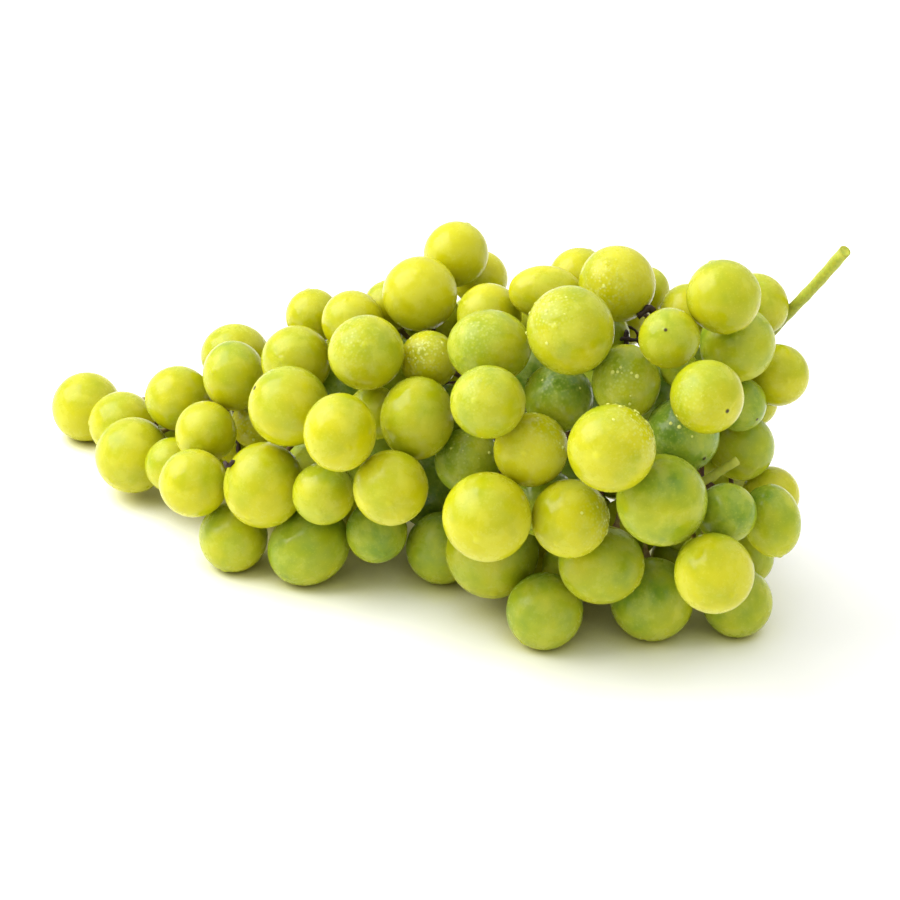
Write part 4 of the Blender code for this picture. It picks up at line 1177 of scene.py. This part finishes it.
def model_stalk(sides, rings):
    """One straight stalk a unit long and a unit in radius, drawn out ring by ring, its far end dished."""
    bpy.ops.mesh.primitive_circle_add(vertices=sides, radius=1.0, fill_type="NGON")
    stalk = bpy.context.object
    select_only(stalk)
    bpy.ops.object.mode_set(mode="EDIT")
    bpy.ops.mesh.select_all(action="SELECT")
    for _ in range(rings):
        bpy.ops.mesh.extrude_region_move(TRANSFORM_OT_translate={"value": (0, 0, 1 / rings)})
    bpy.ops.mesh.inset(thickness=END_RIM)
    bpy.ops.transform.translate(value=(0, 0, -END_DISH / rings))
    bpy.ops.mesh.select_all(action="SELECT")
    bpy.ops.mesh.normals_make_consistent(inside=False)
    bpy.ops.object.mode_set(mode="OBJECT")
    bpy.ops.object.shade_smooth()
    stalk.data.attributes.new("age", "FLOAT", "POINT")
    return stalk


def copy_of(thing, places, name):
    """A copy with its own mesh, its points moved to these places in millimetres."""
    made = thing.copy()
    made.data = thing.data.copy()
    made.name = name
    made.data.vertices.foreach_set("co", (places * MM).reshape(-1))
    bpy.context.scene.collection.objects.link(made)
    return made


def join(things, name):
    """Joins copies into one piece, at the origin."""
    select_only(*things)
    if len(things) > 1:
        bpy.ops.object.join()
    piece = bpy.context.view_layer.objects.active
    piece.name = name
    piece.data.name = name
    return piece


def frame_along(way):
    """Two directions square to a way."""
    side = unit(np.cross(way, ANY_WAY))
    return side, np.cross(way, side)


def unit_rows(vectors):
    """The same directions, each one long."""
    return vectors / np.linalg.norm(vectors, axis=1)[:, None]


def place_berry(model, berries, k, facts, draw):
    """Copies the berry to its place, turned so that its scar is where it should be."""
    plain = vertex_array(model.data)
    way = facts["way"]
    side, other = frame_along(way)
    lumps = np.zeros(len(plain))
    for _ in range(LUMP_SETS):
        swell = np.array([draw.uniform(-1, 1) for _ in range(3)])
        lumps += LUMPINESS * np.sin(LUMP_WAVES * plain @ swell + draw.uniform(0, math.tau))
    shape = plain * (FULLNESS + lumps)[:, None]
    shape[:, :2] *= 1 - facts["pear"] * plain[:, 2:].clip(0, 1) ** 2
    turned = shape[:, :1] * side + shape[:, 1:2] * other + shape[:, 2:] * way
    along = turned @ berries.ways[k]
    stretch = berries.large[k] / berries.small[k] - 1
    turned = (turned + stretch * along[:, None] * berries.ways[k]) * berries.small[k]
    places = turned + berries.centres[k]
    places[:, 2] = np.maximum(places[:, 2], 0.0)
    made = copy_of(model, places, "berry")
    data = np.ones((len(plain), 4))
    # Ripeness plus a painted glow: the side away from the window is painted yellower.
    data[:, 0] = facts["ripe"] + PAINTED_GLOW_SIDE * turned @ unit(np.array(PAINTED_GLOW_WAY)) / berries.small[k]
    around = np.hypot(plain[:, 0], plain[:, 1])
    if facts["scar"] or not facts["shows"]:
        data[:, 1] = np.where(plain[:, 2] < 0, around * (1.0 if facts["scar"] else FAINT_SCAR), 1.0)
    off = np.linalg.norm(unit_rows(turned) - facts["wettest"], axis=1)
    data[:, 2] = facts["wet"][0] * np.exp(-(off / MIST_SPREAD) ** 2)
    made.data.attributes["berry"].data.foreach_set("color", data.reshape(-1))
    grain = plain / np.maximum(around, POLE_ROOM)[:, None]
    grain[:, 2] = plain[:, 2] * GRAIN_LENGTH
    grain += [draw.uniform(0, GRAIN_SPREAD) for _ in range(3)]
    made.data.attributes["grain"].data.foreach_set("vector", grain.reshape(-1))
    return made


def place_drops(model, berries, k, facts, draw):
    """Scatters beads of water over one berry, thickest where they gather."""
    toward, count = facts["wettest"], facts["wet"][3]
    made = []
    shape = vertex_array(model.data)
    for _ in range(count):
        out = unit(toward + DROP_SPREAD * np.array([draw.gauss(0, 1) for _ in range(3)]))
        if out[2] < DROP_LOWEST:
            continue
        radius = DROP_SIZES[0] + (DROP_SIZES[1] - DROP_SIZES[0]) * draw.random() ** DROP_SKEW
        foot = berries.centres[k] + out * (berries.reach(k, out[None])[0] * FULLNESS * DROP_SEAT)
        side, other = frame_along(out)
        turned = shape[:, :1] * side + shape[:, 1:2] * other + shape[:, 2:] * out
        made.append(copy_of(model, foot + radius * turned, "drop"))
    return made


def smooth_path(points, count):
    """Places evenly along a smooth curve through the points."""
    far = np.concatenate([[0], np.cumsum(np.linalg.norm(np.diff(points, axis=0), axis=1))])
    if len(points) < 3:
        t = np.linspace(0, 1, count)[:, None]
        return points[0] + t * (points[-1] - points[0])
    before = 2 * points[0] - points[1]
    after = 2 * points[-1] - points[-2]
    stops = np.vstack([before, points, after])
    result = []
    for s in np.linspace(0, far[-1], count):
        k = min(int(np.searchsorted(far, s, side="right")) - 1, len(points) - 2)
        t = (s - far[k]) / (far[k + 1] - far[k])
        p0, p1, p2, p3 = stops[k:k + 4]
        result.append(0.5 * (2 * p1 + (p2 - p0) * t + (2 * p0 - 5 * p1 + 4 * p2 - p3) * t ** 2
                             + (3 * p1 - p0 - 3 * p2 + p3) * t ** 3))
    return np.array(result)


def bend_stalk(model, points, radius_at, age_at, rings, name):
    """Copies the straight stalk and bends it through the points."""
    shape = vertex_array(model.data)
    path = smooth_path(points, rings + 1)
    ways = np.gradient(path, axis=0)
    ways /= np.linalg.norm(ways, axis=1)[:, None]
    side = frame_along(ways[0])[0]
    sides = []
    for way in ways:
        side = unit(side - way * (side @ way))
        sides.append(side)
    sides = np.array(sides)
    others = np.cross(ways, sides)
    at = shape[:, 2].clip(0, 1) * rings
    near = np.minimum(np.rint(at).astype(int), rings)
    length = float(np.linalg.norm(np.diff(path, axis=0), axis=1).sum())
    fraction = shape[:, 2].clip(0, 1)
    radius = radius_at(fraction, length)
    places = path[near] + ways[near] * ((at - near) * length / rings)[:, None]
    places = places + (sides[near] * shape[:, :1] + others[near] * shape[:, 1:2]) * radius[:, None]
    made = copy_of(model, places, name)
    made.data.attributes["age"].data.foreach_set("value", age_at(fraction))
    return made


def run_berry(berries, point):
    """The berry that a branch ends in, or -1."""
    k = int(np.argmin(np.linalg.norm(berries.centres - point, axis=1)))
    return k if berries.gap(k, point[None])[0][0] < -TIP_DEPTH else -1


def facing(offset, size):
    """The way from a berry's middle to a spot on it, given as seen."""
    _, right_way, up_way, ahead = sight()
    across, up = offset
    toward = math.sqrt(max(size ** 2 - across ** 2 - up ** 2, LEAST_FORWARD))
    return unit(right_way * across + up_way * up - ahead * toward)


def berry_facts(berries, runs, shift, draw):
    """For each berry how ripe and wet it is, how pear-shaped, and the way from its scar to its stalk."""
    seen = [place for layer in LAYERS for place in layer]
    ripeness_and_light = [value for layer in RIPENESS_AND_PAINTED_LIGHT for value in layer]
    _, right_way, up_way, _ = sight()
    facts = []
    for k in range(len(berries)):
        spot = seen[k][:2] if k < len(seen) else None
        if spot:
            ripe = ripeness_and_light[k]
        else:
            deep = outside(berries.centres[k:k + 1] - shift, berries.small[k])[0]
            ripe = np.interp(deep, SUNLESS_AT, SUNLESS_RIPENESS)
            ripe += draw.uniform(-HIDDEN_SPREAD, HIDDEN_SPREAD)
        wet = WET.get(spot, (0.0, 0.0, 0.0, 0))
        size = berries.small[k]
        facts.append({
            "ripe": float(ripe), "wet": wet, "wettest": facing((wet[1] * size, wet[2] * size), size),
            "way": np.array((0.0, 0.0, 1.0)), "scar": SCARS.get(spot), "pear": 0.0,
            "shows": spot is not None,
        })
    for _, points, _, _ in runs:
        k = run_berry(berries, points[-1])
        if k >= 0:
            facts[k]["way"] = unit(points[-1] - berries.centres[k])
    for k, fact in enumerate(facts):
        if fact["scar"]:
            fact["way"] = -facing(fact["scar"], berries.small[k])
        if k < len(seen) and seen[k][:2] in PEARS:
            lean, fact["pear"] = PEARS[seen[k][:2]]
            lean = math.radians(lean)
            fact["way"] = right_way * math.cos(lean) + up_way * math.sin(lean)
    return facts


def finish_piece(things, name, node_name, looks):
    """Joins the things into one piece that stands for a node of the part."""
    for thing in things:
        thing.data.materials.append(looks)
    piece = join(things, name)
    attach(piece, "root")
    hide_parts(node_name)


def add_berries(spray, members, berries, facts, berry, drop, skin, water):
    """The berries of one spray, as one piece, and the water on them, as another."""
    draw = random.Random(spray)
    node_name = "spray_%02d" % spray
    grown = [place_berry(berry, berries, k, facts[k], draw) for k in members]
    finish_piece(grown, node_name + "_berries", node_name, skin)
    beads = []
    for k in members:
        beads += place_drops(drop, berries, k, facts[k], draw)
    if beads:
        finish_piece(beads, node_name + "_water", node_name, water)


def skin_ahead(berries, shift, across, up):
    """The place on the nearest berry skin that shows at across and up."""
    eye = sight()[0] + shift
    way = unit(seen_point(across, up, 0.0) + shift - eye)
    steps = np.arange(SIGHT_DISTANCE + DEPTH_RANGE[0], SIGHT_DISTANCE + DEPTH_RANGE[1], SKIN_STEP)
    spots = eye + steps[:, None] * way
    hits = np.nonzero(skin_gap(spots, berries) < SKIN_STEP)[0]
    return spots[hits[0]] if len(hits) else spots[-1]


def lay_twigs(berries, runs, shift):
    """The dried twigs that show in the gaps, each as the spray it grows on, its radius and its points."""
    eye, _, _, ahead = sight()
    laid = []
    for radius, *stops in TWIGS:
        skin = skin_ahead(berries, shift, *stops[len(stops) // 2])
        further = (skin - shift - eye) @ ahead - radius - SIGHT_DISTANCE
        points = np.array([seen_point(*stop, further) for stop in stops]) + shift
        rows = []
        for spray, run, _, _ in runs:
            for end in (0, -1):
                away = np.linalg.norm(run - points[end], axis=1)
                rows.append((away.min(), spray, end, tuple(run[np.argmin(away)])))
        _, spray, end, foot = min(rows)
        laid.append((spray, radius, np.vstack([foot, points if end == 0 else points[::-1]])))
    return laid


def add_branches(spray, own_runs, own_twigs, root_point, berries, stalk, bark):
    """The side branch of one spray with its dried twigs and the stalks of its berries, as one piece."""
    made = []
    for radius, points in own_twigs:

        def knotty_radius(fraction, length):
            return radius * (1 + TWIG_KNOTS * np.sin(fraction * length * TWIG_WAVES))

        def dry_age(fraction):
            return np.full_like(fraction, TWIG_AGE)

        made.append(bend_stalk(stalk, points, knotty_radius, dry_age, STALK_RINGS, "twig"))
    for points, (begin, end), is_root in own_runs:
        if is_root:
            points = np.vstack([root_point, points])
        ends_in = run_berry(berries, points[-1])
        is_stub = ends_in < 0 and end == STUB_RADIUS

        def radius_at(fraction, length):
            radius = begin + (end - begin) * fraction
            radius = radius + FORK_SWELL * np.exp(-(fraction * length / FORK_LENGTH) ** 2)
            if ends_in >= 0:
                off_collar = (1 - fraction) * length - COLLAR_PLACE
                radius = radius + COLLAR_SWELL * np.exp(-(off_collar / COLLAR_LENGTH) ** 2)
            return radius

        def age_at(fraction):
            if is_stub:
                return STUB_AGES[0] + (STUB_AGES[1] - STUB_AGES[0]) * fraction
            young = STALK_YOUNGER if ends_in >= 0 else BRANCH_YOUNGER
            return BRANCH_AGE - young * fraction

        made.append(bend_stalk(stalk, points, radius_at, age_at, STALK_RINGS, "branch"))
    node_name = "spray_%02d" % spray
    finish_piece(made, node_name + "_branches", node_name, bark)


def add_main_stem(line, stalk, bark):
    """The main stem and the stalk that the bunch was cut by, as one piece."""

    def radius_at(fraction, length):
        radius = np.interp(fraction, STEM_AT, (RACHIS_RADII[0], RACHIS_RADII[1], STALK_RADIUS))
        return radius * (1 + STEM_KNOTS * np.sin(fraction * length * STEM_WAVES))

    def age_at(fraction):
        return np.interp(fraction, STEM_AGES_AT, STEM_AGES)

    made = bend_stalk(stalk, line, radius_at, age_at, STEM_RINGS, "stem")
    finish_piece([made], "stem_stalk", "stem", bark)


def lay_table(looks):
    """The board that the bunch lies on."""
    bpy.ops.mesh.primitive_plane_add(size=TABLE_SIZE, location=(0, 0, -TABLE_DROP))
    table = bpy.context.object
    table.name = "table"
    table.data.materials.append(looks)


def hang_window():
    """The square window, which shines at the bunch."""
    data = bpy.data.lights.new("window", "AREA")
    data.shape = "SQUARE"
    data.size = WINDOW_SIZE
    data.energy = WINDOW_POWER
    window = bpy.data.objects.new("window", data)
    window.location = WINDOW_PLACE
    way = Vector(LIGHT_TARGET) - Vector(WINDOW_PLACE)
    window.rotation_euler = way.to_track_quat("-Z", "Y").to_euler()
    bpy.context.scene.collection.objects.link(window)


def light_room():
    """Soft light from all round, brighter the higher it comes from."""
    world = bpy.data.worlds.new("white room")
    world.use_nodes = True
    tree = world.node_tree
    sky = tree.nodes["Background"]
    sky.inputs["Color"].default_value = lin("#FFFFFF")
    way = node(tree, "ShaderNodeTexCoord").outputs["Generated"]
    height = node(tree, "ShaderNodeSeparateXYZ", [("Vector", way)]).outputs["Z"]
    light = node(tree, "ShaderNodeMapRange", [("Value", height)],
                 sockets={"To Min": WALL_LIGHT, "To Max": CEILING_LIGHT})
    tree.links.new(light.outputs[0], sky.inputs["Strength"])
    bpy.context.scene.world = world


def set_camera(shift):
    """The camera, where the photograph was taken from."""
    eye, right_way, up_way, ahead = sight()
    data = bpy.data.cameras.new("camera")
    data.sensor_width = FILM_WIDTH
    data.lens = LENS
    data.clip_start = NEAREST
    camera = bpy.data.objects.new("camera", data)
    turned = Matrix([right_way, up_way, -ahead]).transposed().to_4x4()
    turned.translation = Vector((eye + shift) * MM)
    camera.matrix_world = turned
    bpy.context.scene.collection.objects.link(camera)
    bpy.context.scene.camera = camera


def main():
    """Dresses the bunch, lays it on its board and lights it."""
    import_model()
    berries, grown_on, line, runs = lay_bunch()
    shift = line[-1] - seen_point(*STALK[-1])
    facts = berry_facts(berries, runs, shift, random.Random(HIDDEN_SEED))
    skin, bark, water = grape_skin(), grape_stalk(), water_beads()
    berry, drop = model_berry(), model_drop()
    branch, stalk = model_stalk(STALK_SIDES, STALK_RINGS), model_stalk(STEM_SIDES, STEM_RINGS)
    add_main_stem(line, stalk, bark)
    twigs = lay_twigs(berries, runs, shift)
    for spray, (point, _, _) in enumerate(stations(line)):
        members = [k for k in range(len(berries)) if grown_on.get(k) == spray]
        own_runs = [(points, ends, is_root) for owner, points, ends, is_root in runs if owner == spray]
        if members:
            add_berries(spray + 1, members, berries, facts, berry, drop, skin, water)
            own_twigs = [(radius, points) for owner, radius, points in twigs if owner == spray]
            add_branches(spray + 1, own_runs, own_twigs, point, berries, branch, bark)
    for model in (berry, drop, branch, stalk):
        bpy.data.objects.remove(model, do_unlink=True)
    lay_table(white_table())
    light_room()
    hang_window()
    set_camera(shift)
    bpy.context.scene.view_settings.view_transform = "Standard"


main()
